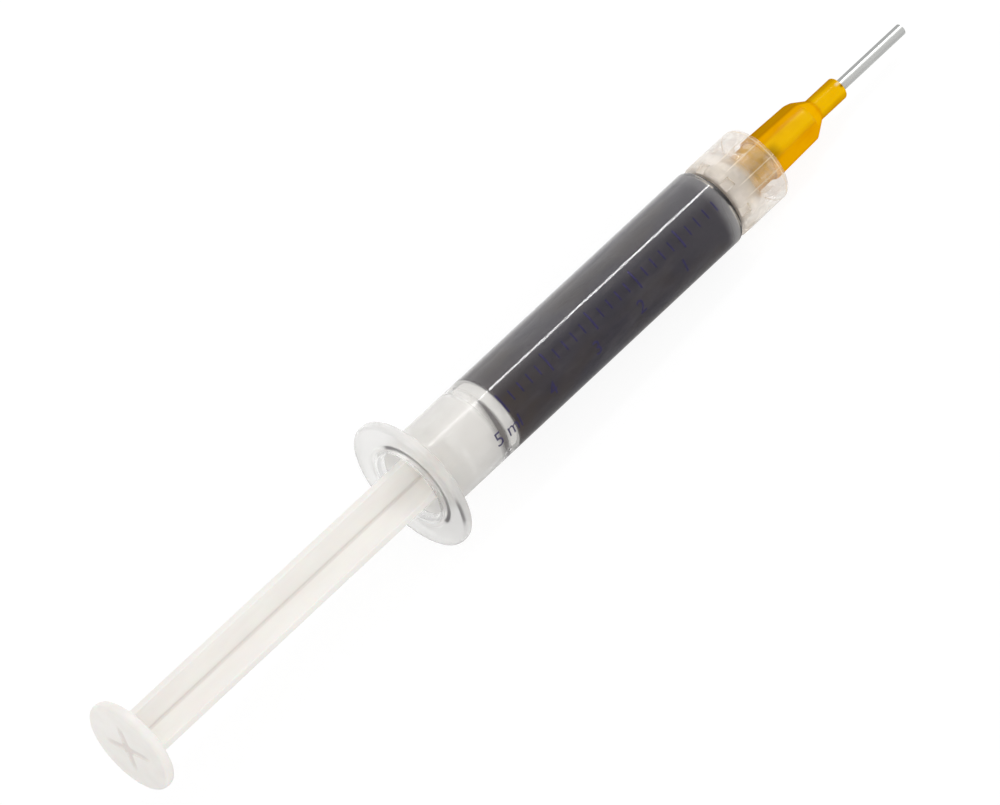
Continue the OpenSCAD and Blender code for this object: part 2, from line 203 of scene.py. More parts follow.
class Bench:
    """Hand tools for one mesh at a time. Work is done in millimetres, then laid down."""

    def take(self, piece: Object) -> None:
        """Selects one object alone and makes it the active one.

        Args:
            piece: the work.
        """
        bpy.ops.object.select_all(action="DESELECT")
        piece.select_set(True)
        bpy.context.view_layer.objects.active = piece

    def add(self, primitive: Callable[..., set[str]], **settings: object) -> Object:
        """Adds a primitive, on the axis unless told otherwise, with nothing else selected.

        Args:
            primitive: the operator that makes it.
            settings: what the operator takes.

        Returns:
            The new object.
        """
        bpy.ops.object.select_all(action="DESELECT")
        primitive(**{"location": (0, 0, 0), **settings})
        return bpy.context.object

    def settle(self, piece: Object, place: Matrix | None = None) -> Object:
        """Works a placement into the mesh, so that the object stands at the origin.

        Args:
            piece: the work.
            place: the placement, or nothing for the one that it has.

        Returns:
            The work.
        """
        self.take(piece)
        if place is not None:
            piece.matrix_world = place
        bpy.ops.object.transform_apply(location=True, rotation=True, scale=True)
        return piece

    def edit(self, piece: Object) -> None:
        """Takes one object into edit mode, with all of it selected.

        Args:
            piece: the work.
        """
        self.take(piece)
        bpy.ops.object.mode_set(mode="EDIT")
        bpy.ops.mesh.select_mode(type="VERT")
        bpy.ops.mesh.select_all(action="SELECT")

    def leave(self) -> None:
        """Goes back to object mode."""
        bpy.ops.object.mode_set(mode="OBJECT")

    def clean(self) -> None:
        """Merges doubles, turns the faces outwards and goes back to object mode."""
        bpy.ops.mesh.select_mode(type="VERT")
        bpy.ops.mesh.select_all(action="SELECT")
        bpy.ops.mesh.remove_doubles(threshold=MERGE_MM)
        bpy.ops.mesh.normals_make_consistent(inside=False)
        self.leave()

    def pick(self, kind: Pick, test: Callable[[Vector], bool]) -> None:
        """Selects the points or edges whose middles pass a test, and nothing else.

        Args:
            kind: what is selected.
            test: takes the middle of one, in mm.
        """
        bpy.ops.mesh.select_mode(type=kind.value)
        bpy.ops.mesh.select_all(action="DESELECT")
        mesh = bmesh.from_edit_mesh(bpy.context.object.data)
        for item in mesh.verts if kind is Pick.POINTS else mesh.edges:
            ends = [item.co] if kind is Pick.POINTS else [v.co for v in item.verts]
            if test(sum(ends, Vector()) / len(ends)):
                item.select_set(True)
        bmesh.update_edit_mesh(bpy.context.object.data)

    def extrude(self, x: float = 0.0, y: float = 0.0, z: float = 0.0) -> None:
        """Extrudes what is selected by this many millimetres."""
        bpy.ops.mesh.extrude_region_move(TRANSFORM_OT_translate={"value": (x, y, z)})

    def bevel(self, size: float, segments: int) -> None:
        """Rounds the edges that are selected."""
        bpy.ops.mesh.bevel(offset=size, segments=segments, affect="EDGES")

    def trace(self, name: str, outline: Outline) -> Object:
        """Draws an outline of edges over the axis, and stays in edit mode with it selected.

        Args:
            name: the object's name.
            outline: the points, as stations and radii.

        Returns:
            The piece.
        """
        piece = self.add(bpy.ops.mesh.primitive_plane_add, size=1)
        piece.name = name
        self.edit(piece)
        bpy.ops.mesh.merge(type="CENTER")
        bpy.ops.transform.translate(value=(outline[0][0], 0, outline[0][1]))
        for (x0, r0), (x1, r1) in zip(outline, outline[1:]):
            self.extrude(x1 - x0, 0, r1 - r0)
        bpy.ops.mesh.select_all(action="SELECT")
        return piece

    def turned(self, name: str, corners: Corners, sides: int = 120, closed: bool = False,
               step_deg: float = 11.25) -> Object:
        """Spins an outline about the syringe's axis.

        Args:
            name: the object's name.
            corners: the outline, as softened() takes it.
            sides: how many it has around.
            closed: joins the last corner to the first, for a ring or a tube.
            step_deg: the largest turn between two points of a rounding.

        Returns:
            The turned piece, still on the bench.
        """
        outline = softened(corners, step_deg)
        piece = self.trace(name, outline + outline[:1] if closed else outline)
        bpy.ops.mesh.spin(steps=sides, angle=2 * math.pi, center=(0, 0, 0), axis=(1, 0, 0))
        self.clean()
        return piece

    def join(self, name: str, parts: Sequence[Object]) -> Object:
        """Makes one object of several.

        Args:
            name: what the object is called.
            parts: the objects, which are used up.

        Returns:
            The one object.
        """
        self.take(parts[0])
        for part in parts[1:]:
            part.select_set(True)
        bpy.ops.object.join()
        parts[0].name = name
        return parts[0]

    def cut(self, piece: Object, tool: Object, keep: Cut = Cut.REST) -> Object:
        """Cuts, joins or keeps the overlap of two closed shapes, and throws the tool away.

        Args:
            piece: the work.
            tool: the other shape.
            keep: what is left.

        Returns:
            The work.
        """
        self.take(piece)
        boolean = piece.modifiers.new("cut", "BOOLEAN")
        boolean.operation, boolean.object, boolean.solver = keep.value, tool, "EXACT"
        bpy.ops.object.modifier_apply(modifier="cut")
        bpy.data.objects.remove(tool)
        return piece

    def ridge(self, name: str, x: float, around: float, sweep: float, lead: float, root: Span,
              crest: Span, fades: Sequence[float] = (0.34, 0.67), step: float = 7.5) -> Object:
        """Sweeps a tapered ridge along a helix and closes its ends.

        Args:
            name: the object's name.
            x, around: station and direction of its first section.
            sweep: degrees that it runs around the axis.
            lead: advance in one turn, in mm.
            root, crest: radius and width there.
            fades: share of the full height at the first sections and, mirrored, at the last.
            step: degrees between two sections.

        Returns:
            The closed ridge.
        """
        (root_r, root_w), (crest_r, crest_w) = root, crest
        piece = self.trace(name, [(x - root_w / 2, root_r), (x - crest_w / 2, crest_r),
                                  (x + crest_w / 2, crest_r), (x + root_w / 2, root_r),
                                  (x - root_w / 2, root_r)])
        bpy.ops.mesh.remove_doubles(threshold=MERGE_MM)
        self.leave()
        steps = math.ceil(sweep / step)
        screw = piece.modifiers.new("helix", "SCREW")
        screw.axis, screw.angle = "X", math.radians(sweep)
        screw.screw_offset = lead * sweep / CIRCLE
        screw.steps = screw.render_steps = steps
        screw.use_merge_vertices = False
        bpy.ops.object.modifier_apply(modifier="helix")
        self.edit(piece)
        for section in (0, steps):
            turn = sweep * section / steps
            here, across, out = x + lead * turn / CIRCLE, spoke(turn), spoke(turn + 90)
            self.pick(Pick.EDGES, lambda m: (abs(m.dot(across)) < NEAR_MM
                                             and abs(m.x - here) < root_w
                                             and m.dot(out) > 0))
            bpy.ops.mesh.edge_face_add()
        for k, fade in enumerate(fades):
            for section in (k, steps - k):
                turn = sweep * section / steps
                here, out = x + lead * turn / CIRCLE, spoke(turn + 90)
                self.pick(Pick.POINTS, lambda v: (
                    abs(v.x - here) < crest_w / 2 + NEAR_MM
                    and (Vector((0, v.y, v.z)) - out * crest_r).length < NEAR_MM))
                bpy.ops.transform.translate(value=out * (root_r - crest_r) * (1 - fade))
        self.clean()
        return self.settle(piece, about(around - 90))

    def lay_down(self, piece: Object, smooth_deg: float = 30.0, around: float = 0.0) -> Object:
        """Puts a finished piece where it lies at rest, with its place in its mesh.

        Args:
            piece: the work, in mm on the syringe's axis.
            smooth_deg: edges flatter than this are shaded smooth.
            around: turn about the axis first, in degrees.

        Returns:
            The piece, at the origin of the row frame.
        """
        self.settle(piece, REST.matrix() @ about(around))
        bpy.ops.object.shade_smooth_by_angle(angle=math.radians(smooth_deg))
        return piece


BENCH = Bench()


class Wire:
    """A shader value, a socket or a number, that Python's operators can work on."""

    def __init__(self, board: "Board", value: "bpy.types.NodeSocket | float") -> None:
        """Keeps the board that new nodes go on, and the value."""
        self.board = board
        self.value = value

    def math(self, operation: str, *others: Amount, first: Amount | None = None) -> "Wire":
        """Adds a Math node.

        Args:
            operation: the Math node's operation.
            others: the values after this one.
            first: a value that goes before this one.

        Returns:
            The node's result.
        """
        values = ([] if first is None else [first]) + [self, *others]
        return self.board.wire("Math", {"operation": operation}, dict(enumerate(values)))

    def __add__(self, other: Amount) -> "Wire":
        """self + other."""
        return self.math("ADD", other)

    def __sub__(self, other: Amount) -> "Wire":
        """self - other."""
        return self.math("SUBTRACT", other)

    def __rsub__(self, other: float) -> "Wire":
        """other - self."""
        return self.math("SUBTRACT", first=other)

    def __mul__(self, other: Amount) -> "Wire":
        """self * other."""
        return self.math("MULTIPLY", other)

    def size(self) -> "Wire":
        """The value without its sign."""
        return self.math("ABSOLUTE")

    def most(self, *others: Amount) -> "Wire":
        """The largest of this value and the others.

        Args:
            others: the values to compare it with.

        Returns:
            The largest value.
        """
        top = self
        for other in others:
            top = top.math("MAXIMUM", other)
        return top

    def off(self, first: float, pitch: float = CIRCLE) -> "Wire":
        """How far a direction is from the nearest of a row of directions.

        Args:
            first: one of them, in degrees.
            pitch: degrees between two of them.

        Returns:
            The distance in degrees, from minus half a pitch to half a pitch.
        """
        return (self - first + CIRCLE + pitch / 2).math("MODULO", pitch) - pitch / 2

    def between(self, low: float, high: float, soft: float = 0.0) -> "Wire":
        """A mask for a stretch of this value.

        Args:
            low, high: where the stretch starts and ends.
            soft: width of its edges.

        Returns:
            1 inside the stretch, 0 outside.
        """
        edge = max(soft, 1e-4) / 2
        return self.ramp(low - edge, low + edge) * self.ramp(high + edge, high - edge)

    def ramp(self, start: float, end: float, lowest: float = 0.0, highest: float = 1.0) -> "Wire":
        """A smooth step.

        Args:
            start, end: the values of this wire where the step starts and ends.
            lowest, highest: the results there.

        Returns:
            The stepped value.
        """
        if start > end:
            start, end, lowest, highest = end, start, highest, lowest
        return self.board.wire("MapRange", {"interpolation_type": "SMOOTHSTEP"},
                               {0: self, 1: start, 2: end, 3: lowest, 4: highest})


class Board:
    """A material's node board, and the helpers that every finish uses."""

    def __init__(self, name: str, tree: "bpy.types.NodeTree | None" = None) -> None:
        """Starts an empty material, or clears the tree that is given.

        Args:
            name: what a new material is called.
            tree: a tree to use in place of a new material's.
        """
        self.material = None
        if tree is None:
            self.material = bpy.data.materials.new(name)
            self.material.use_nodes = True
            tree = self.material.node_tree
        tree.nodes.clear()
        self.tree = tree

    def node(self, kind: str, settings: dict | None = None,
             inputs: dict | None = None) -> bpy.types.Node:
        """Adds any node.

        Args:
            kind: the node's type, without its ShaderNode prefix.
            settings: its properties.
            inputs: values or wires by socket name or number.

        Returns:
            The node.
        """
        made = self.tree.nodes.new("ShaderNode" + kind)
        for key, value in (settings or {}).items():
            setattr(made, key, value)
        for key, value in (inputs or {}).items():
            if isinstance(value, Wire):
                self.tree.links.new(value.value, made.inputs[key])
            elif isinstance(value, tuple) and made.inputs[key].type == "RGBA":
                made.inputs[key].default_value = (*value, 1)
            else:
                made.inputs[key].default_value = value
        return made

    def wire(self, kind: str, settings: dict | None = None, inputs: dict | None = None,
             out: "int | str" = 0) -> Wire:
        """Adds a node and returns one of its outputs as a wire."""
        return Wire(self, self.node(kind, settings, inputs).outputs[out])

    def place(self) -> Wire:
        """The point in the syringe's own frame, in millimetres."""
        spot = self.wire("TexCoord", out="Object")
        return self.wire("Mapping", {"vector_type": "TEXTURE"}, {
            "Vector": spot, "Location": (-REST.mid_x * MM, 0, REST.axis_z * MM),
            "Rotation": (0, math.radians(REST.tilt_deg), 0), "Scale": (MM, MM, MM)})

    def axes(self, vector: Wire) -> tuple[Wire, Wire, Wire]:
        """The three parts of a vector."""
        parts = self.node("SeparateXYZ", inputs={0: vector})
        return tuple(Wire(self, out) for out in parts.outputs)

    def polar(self, y: Wire, z: Wire) -> tuple[Wire, Wire]:
        """The distance from the axis in mm, and the direction around it from 0 to 360 degrees."""
        turn = (z.math("ARCTAN2", y) * math.degrees(1) + CIRCLE).math("MODULO", CIRCLE)
        return (y * y + z * z).math("SQRT"), turn

    def rays(self) -> tuple[Wire, Wire]:
        """1 for rays that come straight or through clear plastic, and 1 for mirrored ones.

        Returns:
            The two masks.
        """
        path = self.node("LightPath")
        camera, through, glossy = (Wire(self, path.outputs[f"Is {name} Ray"])
                                   for name in ("Camera", "Transmission", "Glossy"))
        return (camera + through).math("MINIMUM", 1.0), glossy

    def noise(self, vector: Wire, grain: Grain) -> Wire:
        """Soft noise around 0.5.

        Args:
            vector: where to read it, in mm.
            grain: how coarse it is.

        Returns:
            The noise.
        """
        scale, detail, stretch = grain
        spot = self.wire("Mapping", inputs={"Vector": vector, "Scale": stretch})
        return self.wire("TexNoise", inputs={"Vector": spot, "Scale": scale, "Detail": detail})

    def blend(self, share: Amount, low: "Wire | Colour", high: "Wire | Colour") -> Wire:
        """Mixes two colours."""
        return self.wire("Mix", {"data_type": "RGBA"}, {0: share, 6: low, 7: high}, out=2)

    def layer(self, share: Wire, under: Wire, over: Wire) -> Wire:
        """Mixes two surfaces."""
        return self.wire("MixShader", inputs={0: share, 1: under, 2: over})

    def relief(self, height: Wire, depth_mm: float, strength: float) -> Wire:
        """A Bump node on a height field.

        Args:
            height: from 0 to 1.
            depth_mm: the relief's full height.
            strength: the bump's share.

        Returns:
            The normal.
        """
        return self.wire("Bump", inputs={"Height": height, "Distance": depth_mm * MM,
                                         "Strength": strength})

    def pores(self, vector: Wire, roughness: Span, strength: float,
              grain: Grain = (2.2, 2, (1, 1, 1))) -> tuple[Wire, Wire]:
        """The fine pores of a moulded surface.

        Args:
            vector: where to read them, in mm.
            roughness: the least and the most.
            strength: the bump's share.
            grain: how coarse they are.

        Returns:
            The roughness and the normal that they give.
        """
        pores = self.noise(vector, grain)
        return pores.ramp(*MIDDLE, *roughness), self.relief(pores, PORE_MM, strength)

    def gloss(self, **sockets: "Wire | float | Colour") -> Wire:
        """A Principled surface; socket names have _ where Blender has a blank."""
        named = {key.replace("_", " "): value for key, value in sockets.items()}
        return self.wire("BsdfPrincipled", inputs=named)

    def close(self, surface: Wire) -> Material:
        """Joins the surface to the output and hands the material over."""
        self.node("OutputMaterial", inputs={0: surface})
        return self.material


class Finish(ABC):
    """A procedural finish. Each kind says in surface() what its nodes are."""

    name: str

    @abstractmethod
    def surface(self, board: Board, spot: Wire) -> Wire:
        """The surface, from the board's nodes and the point in the syringe's own frame."""

    def make(self) -> Material:
        """The material, made once and found again after that.

        Returns:
            The material.
        """
        name = self.name + "_finish"
        made = bpy.data.materials.get(name)
        if made is None:
            board = Board(name)
            made = board.close(self.surface(board, board.place()))
        return made


@dataclass(frozen=True)
class ClearPlastic(Finish):
    """Clear polypropylene: glossy over the paste, milky in the flange and around the stopper."""

    name: str = "clear_barrel"
    tint: Colour = paint(254, 254, 253)
    haze: Colour = paint(252, 250, 247)
    # painted shade: colour of the dark arcs painted on the flange
    dark: Colour = paint(96, 92, 94)
    streaks: Grain = (1.4, 4, (0.12, 1, 1))
    dent: Span = (0.02, 0.012)
    roughness: Mask = (0.3, 0.8, 0.048, 0.12)
    flange_roughness: float = 0.15
    milky_roughness: float = 0.3
    milky_clear: float = 0.4
    flange_x: Mask = (1.9, 3.4, 1, 0)
    flange_edge: Mask = (6.9, 7.6)
    mouth_x: Mask = (0.8, 1.4, 1, 0)
    mouth_edge: Mask = (6.4, 6.9, 1, 0)
    rear_x: Mask = (12.7, 13.5, 1, 0)
    front_x: Mask = (13.1, 16.8, 0.5)
    # where a pale highlight is painted along the shoulder's rounding, stronger on one side
    shoulder_x: Mask = (62.2, 64.8)
    shoulder_end: Mask = (64.9, 65.2, 1, 0)
    shoulder_edge: Mask = (5.9, 6.1)
    shoulder_side: Mask = (-30, 50, 0.5, 1.25)
    # a painted dark arc on the flange's rear face, where the fillet shows dark through it
    painted_arc_centre: Span = (-0.88, 1.09)
    painted_arc_band: Mask = (6.67, 7.33, 0.35)
    painted_arc_around: float = 128.0
    painted_arc_reach: Mask = (66, 76, 1, 0)
    painted_arc_fade: Mask = (10, 66, 0.6, 0.95)
    # a painted dark streak along the rounded edge of the flange's rear face
    rim_band: Mask = (10.48, 10.92, 0.25)
    rim_around: float = 166.0
    rim_reach: Mask = (-12, 12, 12)
    rim_shade_share: float = 0.75
    dark_x: Mask = (0.25, 0.45, 1, 0)
    flange_thin: float = 0.5
    rear_thin: float = 0.65
    front_thin: float = 0.4
    flange_haze: float = 0.3
    rear_haze: float = 0.5
    front_haze: float = 0.22
    # share of the painted pale highlight along the shoulder
    shoulder_painted_highlight: float = 0.34

    def arcs(self, board: Board, x: Wire, y: Wire, z: Wire) -> Wire:
        """Where dark arcs are painted on the flange: painted shade for the fillet and the rim seen
        dark through it.

        Args:
            board: the board to work on.
            x, y, z: the point in the syringe's own frame.

        Returns:
            The share of painted shade.
        """
        away, around = board.polar(y, z)
        painted_arc, _ = board.polar(y - self.painted_arc_centre[0], z - self.painted_arc_centre[1])
        ends = around.off(self.painted_arc_around).size()
        painted_arc = painted_arc.between(*self.painted_arc_band) * ends.ramp(*self.painted_arc_reach)
        painted_arc = painted_arc * ends.ramp(*self.painted_arc_fade)
        rim = away.between(*self.rim_band) * around.off(self.rim_around).between(*self.rim_reach)
        return x.ramp(*self.dark_x) * painted_arc.most(rim * self.rim_shade_share)

    def surface(self, board: Board, spot: Wire) -> Wire:
        """Clear and milky plastic, mixed by zone, under the painted dark arcs of the flange, with a
        painted pale highlight along the shoulder.

        Args:
            board: the board to put the nodes on.
            spot: the point in the syringe's own frame, in mm.

        Returns:
            The surface.
        """
        x, y, z = board.axes(spot)
        away, around = board.polar(y, z)
        streaks = board.noise(spot, self.streaks)
        dent = board.relief(streaks, *self.dent)
        flange = x.ramp(*self.flange_x) * away.ramp(*self.flange_edge)
        mouth = x.ramp(*self.mouth_x) * away.ramp(*self.mouth_edge)
        rear = x.ramp(*self.rear_x) * (1 - mouth) * (1 - flange)
        front = x.between(*self.front_x)
        # painted pale highlight along the shoulder's rounding
        shoulder = x.ramp(*self.shoulder_x) * x.ramp(*self.shoulder_end)
        shoulder = shoulder * away.ramp(*self.shoulder_edge)
        shoulder = shoulder * around.off(FRONT).ramp(*self.shoulder_side)
        rough = streaks.ramp(*self.roughness) + flange * self.flange_roughness
        solid = 1 - flange * self.flange_thin - rear * self.rear_thin - front * self.front_thin
        share = (flange * self.flange_haze + rear * self.rear_haze + front * self.front_haze
                 + shoulder * self.shoulder_painted_highlight)
        clear = board.gloss(Base_Color=self.tint, Roughness=rough, IOR=PLASTIC_IOR,
                            Transmission_Weight=1.0, Alpha=solid, Normal=dent)
        milky = board.gloss(Base_Color=self.haze, Roughness=self.milky_roughness, IOR=PLASTIC_IOR,
                            Transmission_Weight=self.milky_clear, Normal=dent)
        # painted shade laid over the flange where the dark arcs are painted
        shadow = board.gloss(Base_Color=self.dark, Roughness=self.milky_roughness, IOR=PLASTIC_IOR)
        body = board.layer(share, clear, milky)
        return board.layer(self.arcs(board, x, y, z), body, shadow)


@dataclass(frozen=True)
class PasteFinish(Finish):
    """Dark grey solder paste, fine grained and wet against the wall."""

    name: str = "grey_paste"
    colour: Colour = paint(72, 68, 78)
    light: Colour = paint(92, 88, 94)
    brown: Colour = paint(84, 74, 68)
    dark: Colour = paint(54, 50, 56)
    grain: Grain = (2.6, 2, (1, 1, 1))
    clouds: Grain = (0.45, 3, (0.3, 1, 1))
    stains: Grain = (0.23, 2, (0.4, 1, 1))
    clouded: Mask = (0.4, 0.75)
    lighter_x: Mask = (50, 60, 0, 0.6)
    stained: Mask = (0.45, 0.7, 0, 0.5)
    browner_x: Mask = (32, 18, 0, 0.45)
    grained: Mask = (0.5, 0.8, 0, 0.2)
    roughness: Mask = (0.3, 0.7, 0.5, 0.58)
    shine: float = 0.08
    dent: Span = (0.01, 0.03)

    def surface(self, board: Board, spot: Wire) -> Wire:
        """Grey clouds with brown stains and a fine grain.

        Args:
            board: the board to put the nodes on.
            spot: the point in the syringe's own frame, in mm.

        Returns:
            The surface.
        """
        grain, clouds, stains = (board.noise(spot, kind)
                                 for kind in (self.grain, self.clouds, self.stains))
        x, _, _ = board.axes(spot)
        body = board.blend(clouds.ramp(*self.clouded), self.colour, self.light)
        body = board.blend(x.ramp(*self.lighter_x), body, self.light)
        body = board.blend(stains.ramp(*self.stained) + x.ramp(*self.browner_x), body, self.brown)
        body = board.blend(grain.ramp(*self.grained), body, self.dark)
        return board.gloss(Base_Color=body, Roughness=grain.ramp(*self.roughness),
                           Specular_IOR_Level=self.shine, Normal=board.relief(grain, *self.dent))


@dataclass(frozen=True)
class SatinPlastic(Finish):
    """Milky satin plastic or rubber with fine pores and moulding clouds."""

    name: str
    colour: Colour
    shade: Colour
    roughness: Span = (0.357, 0.504)
    depth: float = 0.15
    clouds: Grain = (0.35, 4, (0.3, 1, 1))
    clouded: Mask = (0.3, 0.75)
    pores: Grain = (6, 3, (1, 1, 1))
    dent: float = 0.35

    def body(self, board: Board, spot: Wire) -> Wire:
        """The colour, clouded between two tones."""
        clouds = board.noise(spot, self.clouds)
        return board.blend(clouds.ramp(*self.clouded), self.colour, self.shade)

    def surface(self, board: Board, spot: Wire) -> Wire:
        """The satin surface, with light scattered under it."""
        rough, dent = board.pores(spot, self.roughness, self.dent, self.pores)
        return board.gloss(Base_Color=self.body(board, spot), Roughness=rough, IOR=PLASTIC_IOR,
                           Subsurface_Weight=self.depth, Subsurface_Scale=MM, Normal=dent)


@dataclass(frozen=True)
class RodPlastic(SatinPlastic):
    """White rod plastic, with painted shade in the sink marks where the ribs shrank behind the
    thumb rest's face and in the ribs' valleys.
    """

    name: str = "white_rod"
    colour: Colour = paint(246, 244, 239)
    shade: Colour = paint(242, 239, 234)
    # painted shade for the sink marks and the valleys between the ribs
    crease_shade: Colour = paint(222, 214, 209)
    rib_around: float = 74.2
    arm_length: Mask = (4.8, 3.0)
    arm_width: Mask = (0.8, 0.1)
    face_x: Mask = (-58.8, -58.9)
    mark_shade_share: float = 0.75
    valley: Mask = (1.3, 0.95)
    valley_shade_share: float = 0.7

    def body(self, board: Board, spot: Wire) -> Wire:
        """The clouded colour, with painted shade in the crossed sink mark and in the valleys of the
        ribs.

        Args:
            board: the board to put the nodes on.
            spot: the point in the syringe's own frame, in mm.

        Returns:
            The colour.
        """
        x, y, z = board.axes(spot)
        turn = math.radians(self.rib_around)
        along = (y * math.cos(turn) + z * math.sin(turn)).size()
        across = (z * math.cos(turn) - y * math.sin(turn)).size()
        one = along.ramp(*self.arm_length) * across.ramp(*self.arm_width)
        other = across.ramp(*self.arm_length) * along.ramp(*self.arm_width)
        mark = one.most(other) * x.ramp(*self.face_x) * self.mark_shade_share
        away, _ = board.polar(y, z)
        # painted shade in the crossed sink mark and in the ribs' valleys
        share = mark.most(away.ramp(*self.valley) * self.valley_shade_share)
        return board.blend(share, super().body(board, spot), self.crease_shade)


@dataclass(frozen=True)
class Adhesive(Finish):
    """Cream resin that lets some light through."""

    name: str = "cream_adhesive"
    colour: Colour = paint(232, 205, 150)
    deep: Colour = paint(205, 165, 90)
    clear: float = 0.3
    roughness: Span = (0.096, 0.15)
    flow: Grain = (0.5, 3, (0.4, 1, 1))
    flowed: Mask = (0.35, 0.75)
    dent: float = 0.06

    def surface(self, board: Board, spot: Wire) -> Wire:
        """Resin that flowed between two tones.

        Args:
            board: the board to put the nodes on.
            spot: the point in the syringe's own frame, in mm.

        Returns:
            The surface.
        """
        flow = board.noise(spot, self.flow)
        rough, dent = board.pores(spot, self.roughness, self.dent)
        body = board.blend(flow.ramp(*self.flowed), self.colour, self.deep)
        return board.gloss(Base_Color=body, Roughness=rough, IOR=PLASTIC_IOR,
                           Transmission_Weight=self.clear, Normal=dent)


@dataclass(frozen=True)
class AmberPlastic(Finish):
    """Amber plastic of the hub, deeper at its grip's corners, partly as painted shade, with painted
    shade at its sides, neck and rear and over the nozzle's end.
    """

    name: str = "amber_hub"
    colour: Colour = paint(255, 198, 0)
    # deeper amber of the flow and the cone; also painted shade on the far sides and the neck's
    # foot, and partly at the grip's corners
    deep: Colour = paint(224, 150, 0)
    # painted shade over the nozzle's end, along one side, on the neck's flanks and at the grip's
    # rear by the collar
    olive: Colour = paint(136, 96, 8)
    # a painted glint at the neck's end
    pale: Colour = paint(255, 242, 206)
    # a small brown spot beside the painted glint
    brown: Colour = paint(104, 58, 12)
    shine: Colour = (1.0, 0.8, 0.3)
    clear: float = 0.25
    roughness: Span = (0.128, 0.2)
    ior: float = 1.4
    dent: float = 0.06
    flow: Grain = (0.5, 3, (0.4, 1, 1))
    grip_x: Mask = (76.5, 86.4, 0.6)
    cone_x: Mask = (86.4, 88.7, 0.6)
    foot_x: Mask = (88.2, 88.9, 0.7)
    corner_around: float = 75.2
    corner_band: Mask = (-3, 3, 9)
    # these two set where painted shade starts and is full on the sides turned away from the camera
    grip_side: Mask = (16, 26)
    round_side: Mask = (35, 85)
    flowed: Mask = (0.4, 0.8, 0, 0.3)
    # where the olive shade is painted: over the nozzle's end, along one side, on the neck's flanks
    # and at the grip's rear
    nozzle_x: Mask = (79.5, 77.3)
    nozzle_around: float = 126.0
    nozzle_band: Mask = (-16, 16, 24)
    rim_around: float = FRONT - 72
    rim_band: Mask = (-32, 32, 8)
    neck_x: Mask = (88.1, 89.1)
    neck_side: Mask = (12, 50)
    inside_x: Mask = (76.7, 76.3)
    # a painted glint at the neck's end, and a small brown spot beside it
    glint_x: Mask = (93.4, 94.3, 0.6)
    glint_around: float = FRONT - 16
    brown_spot_x: Mask = (93.8, 94.4, 0.4)
    brown_spot_around: float = FRONT + 3
    end_band: Mask = (-6, 6, 12)
    solid_side: Mask = (16, 34, 0.35, 1)
    # the corners' share is partly thicker amber and partly painted shade; the far sides' and the
    # foot's shares are painted shade
    corner_depth_and_shade: float = 0.3
    far_side_shade: float = 0.7
    cone_depth: float = 0.45
    foot_shade: float = 0.4
    nozzle_shade: float = 0.6
    rim_shade: float = 0.4
    neck_shade: float = 0.35
    inside_shade: float = 0.45
    glint_share: float = 0.7
    brown_spot_share: float = 0.8

    def body(self, board: Board, spot: Wire) -> Wire:
        """The colour by zone: deeper amber, painted olive shade, a painted pale glint and a brown
        spot.

        Args:
            board: the board to put the nodes on.
            spot: the point in the syringe's own frame, in mm.

        Returns:
            The colour.
        """
        x, y, z = board.axes(spot)
        _, around = board.polar(y, z)
        side = around.off(FRONT).size()
        grip = x.between(*self.grip_x)
        corners = around.off(self.corner_around, 60).between(*self.corner_band) * grip
        # painted shade on the sides turned away from the camera
        far = side.ramp(*self.grip_side) * grip + side.ramp(*self.round_side) * (1 - grip)
        # the cone's deeper tone, and painted shade at the neck's foot
        cone, foot = x.between(*self.cone_x), x.between(*self.foot_x)
        depth = (corners * self.corner_depth_and_shade + far * self.far_side_shade + cone * self.cone_depth
                 + foot * self.foot_shade + board.noise(spot, self.flow).ramp(*self.flowed))
        nozzle = x.ramp(*self.nozzle_x) * around.off(self.nozzle_around).between(*self.nozzle_band)
        rim = around.off(self.rim_around).between(*self.rim_band)
        neck = x.ramp(*self.neck_x) * side.ramp(*self.neck_side)
        shade = (nozzle * self.nozzle_shade).most(
            rim * self.rim_shade, neck * self.neck_shade,
            x.ramp(*self.inside_x) * self.inside_shade)
        # painted glint at the neck's end, with a small brown spot beside it
        glint = x.between(*self.glint_x) * around.off(self.glint_around).between(*self.end_band)
        brown_spot = x.between(*self.brown_spot_x) * around.off(self.brown_spot_around).between(*self.end_band)
        body = board.blend(depth.math("MINIMUM", 1.0), self.colour, self.deep)
        body = board.blend(shade, body, self.olive)
        body = board.blend(glint * self.glint_share, body, self.pale)
        return board.blend(brown_spot * self.brown_spot_share, body, self.brown)

    def surface(self, board: Board, spot: Wire) -> Wire:
        """Clear amber towards the front, and solid amber at its sides and on the cone.

        Args:
            board: the board to put the nodes on.
            spot: the point in the syringe's own frame, in mm.

        Returns:
            The surface.
        """
        x, y, z = board.axes(spot)
        _, around = board.polar(y, z)
        body = self.body(board, spot)
        rough, dent = board.pores(spot, self.roughness, self.dent)
        solid = board.gloss(Base_Color=body, Roughness=rough, IOR=self.ior, Specular_IOR_Level=0.0,
                            Specular_Tint=self.shine, Normal=dent)
        clear = board.gloss(Base_Color=body, Roughness=rough, IOR=self.ior, Specular_IOR_Level=0.2,
                            Transmission_Weight=self.clear, Specular_Tint=self.shine, Normal=dent)
        share = around.off(FRONT).size().ramp(*self.solid_side).most(x.between(*self.cone_x))
        return board.layer(share, clear, solid)


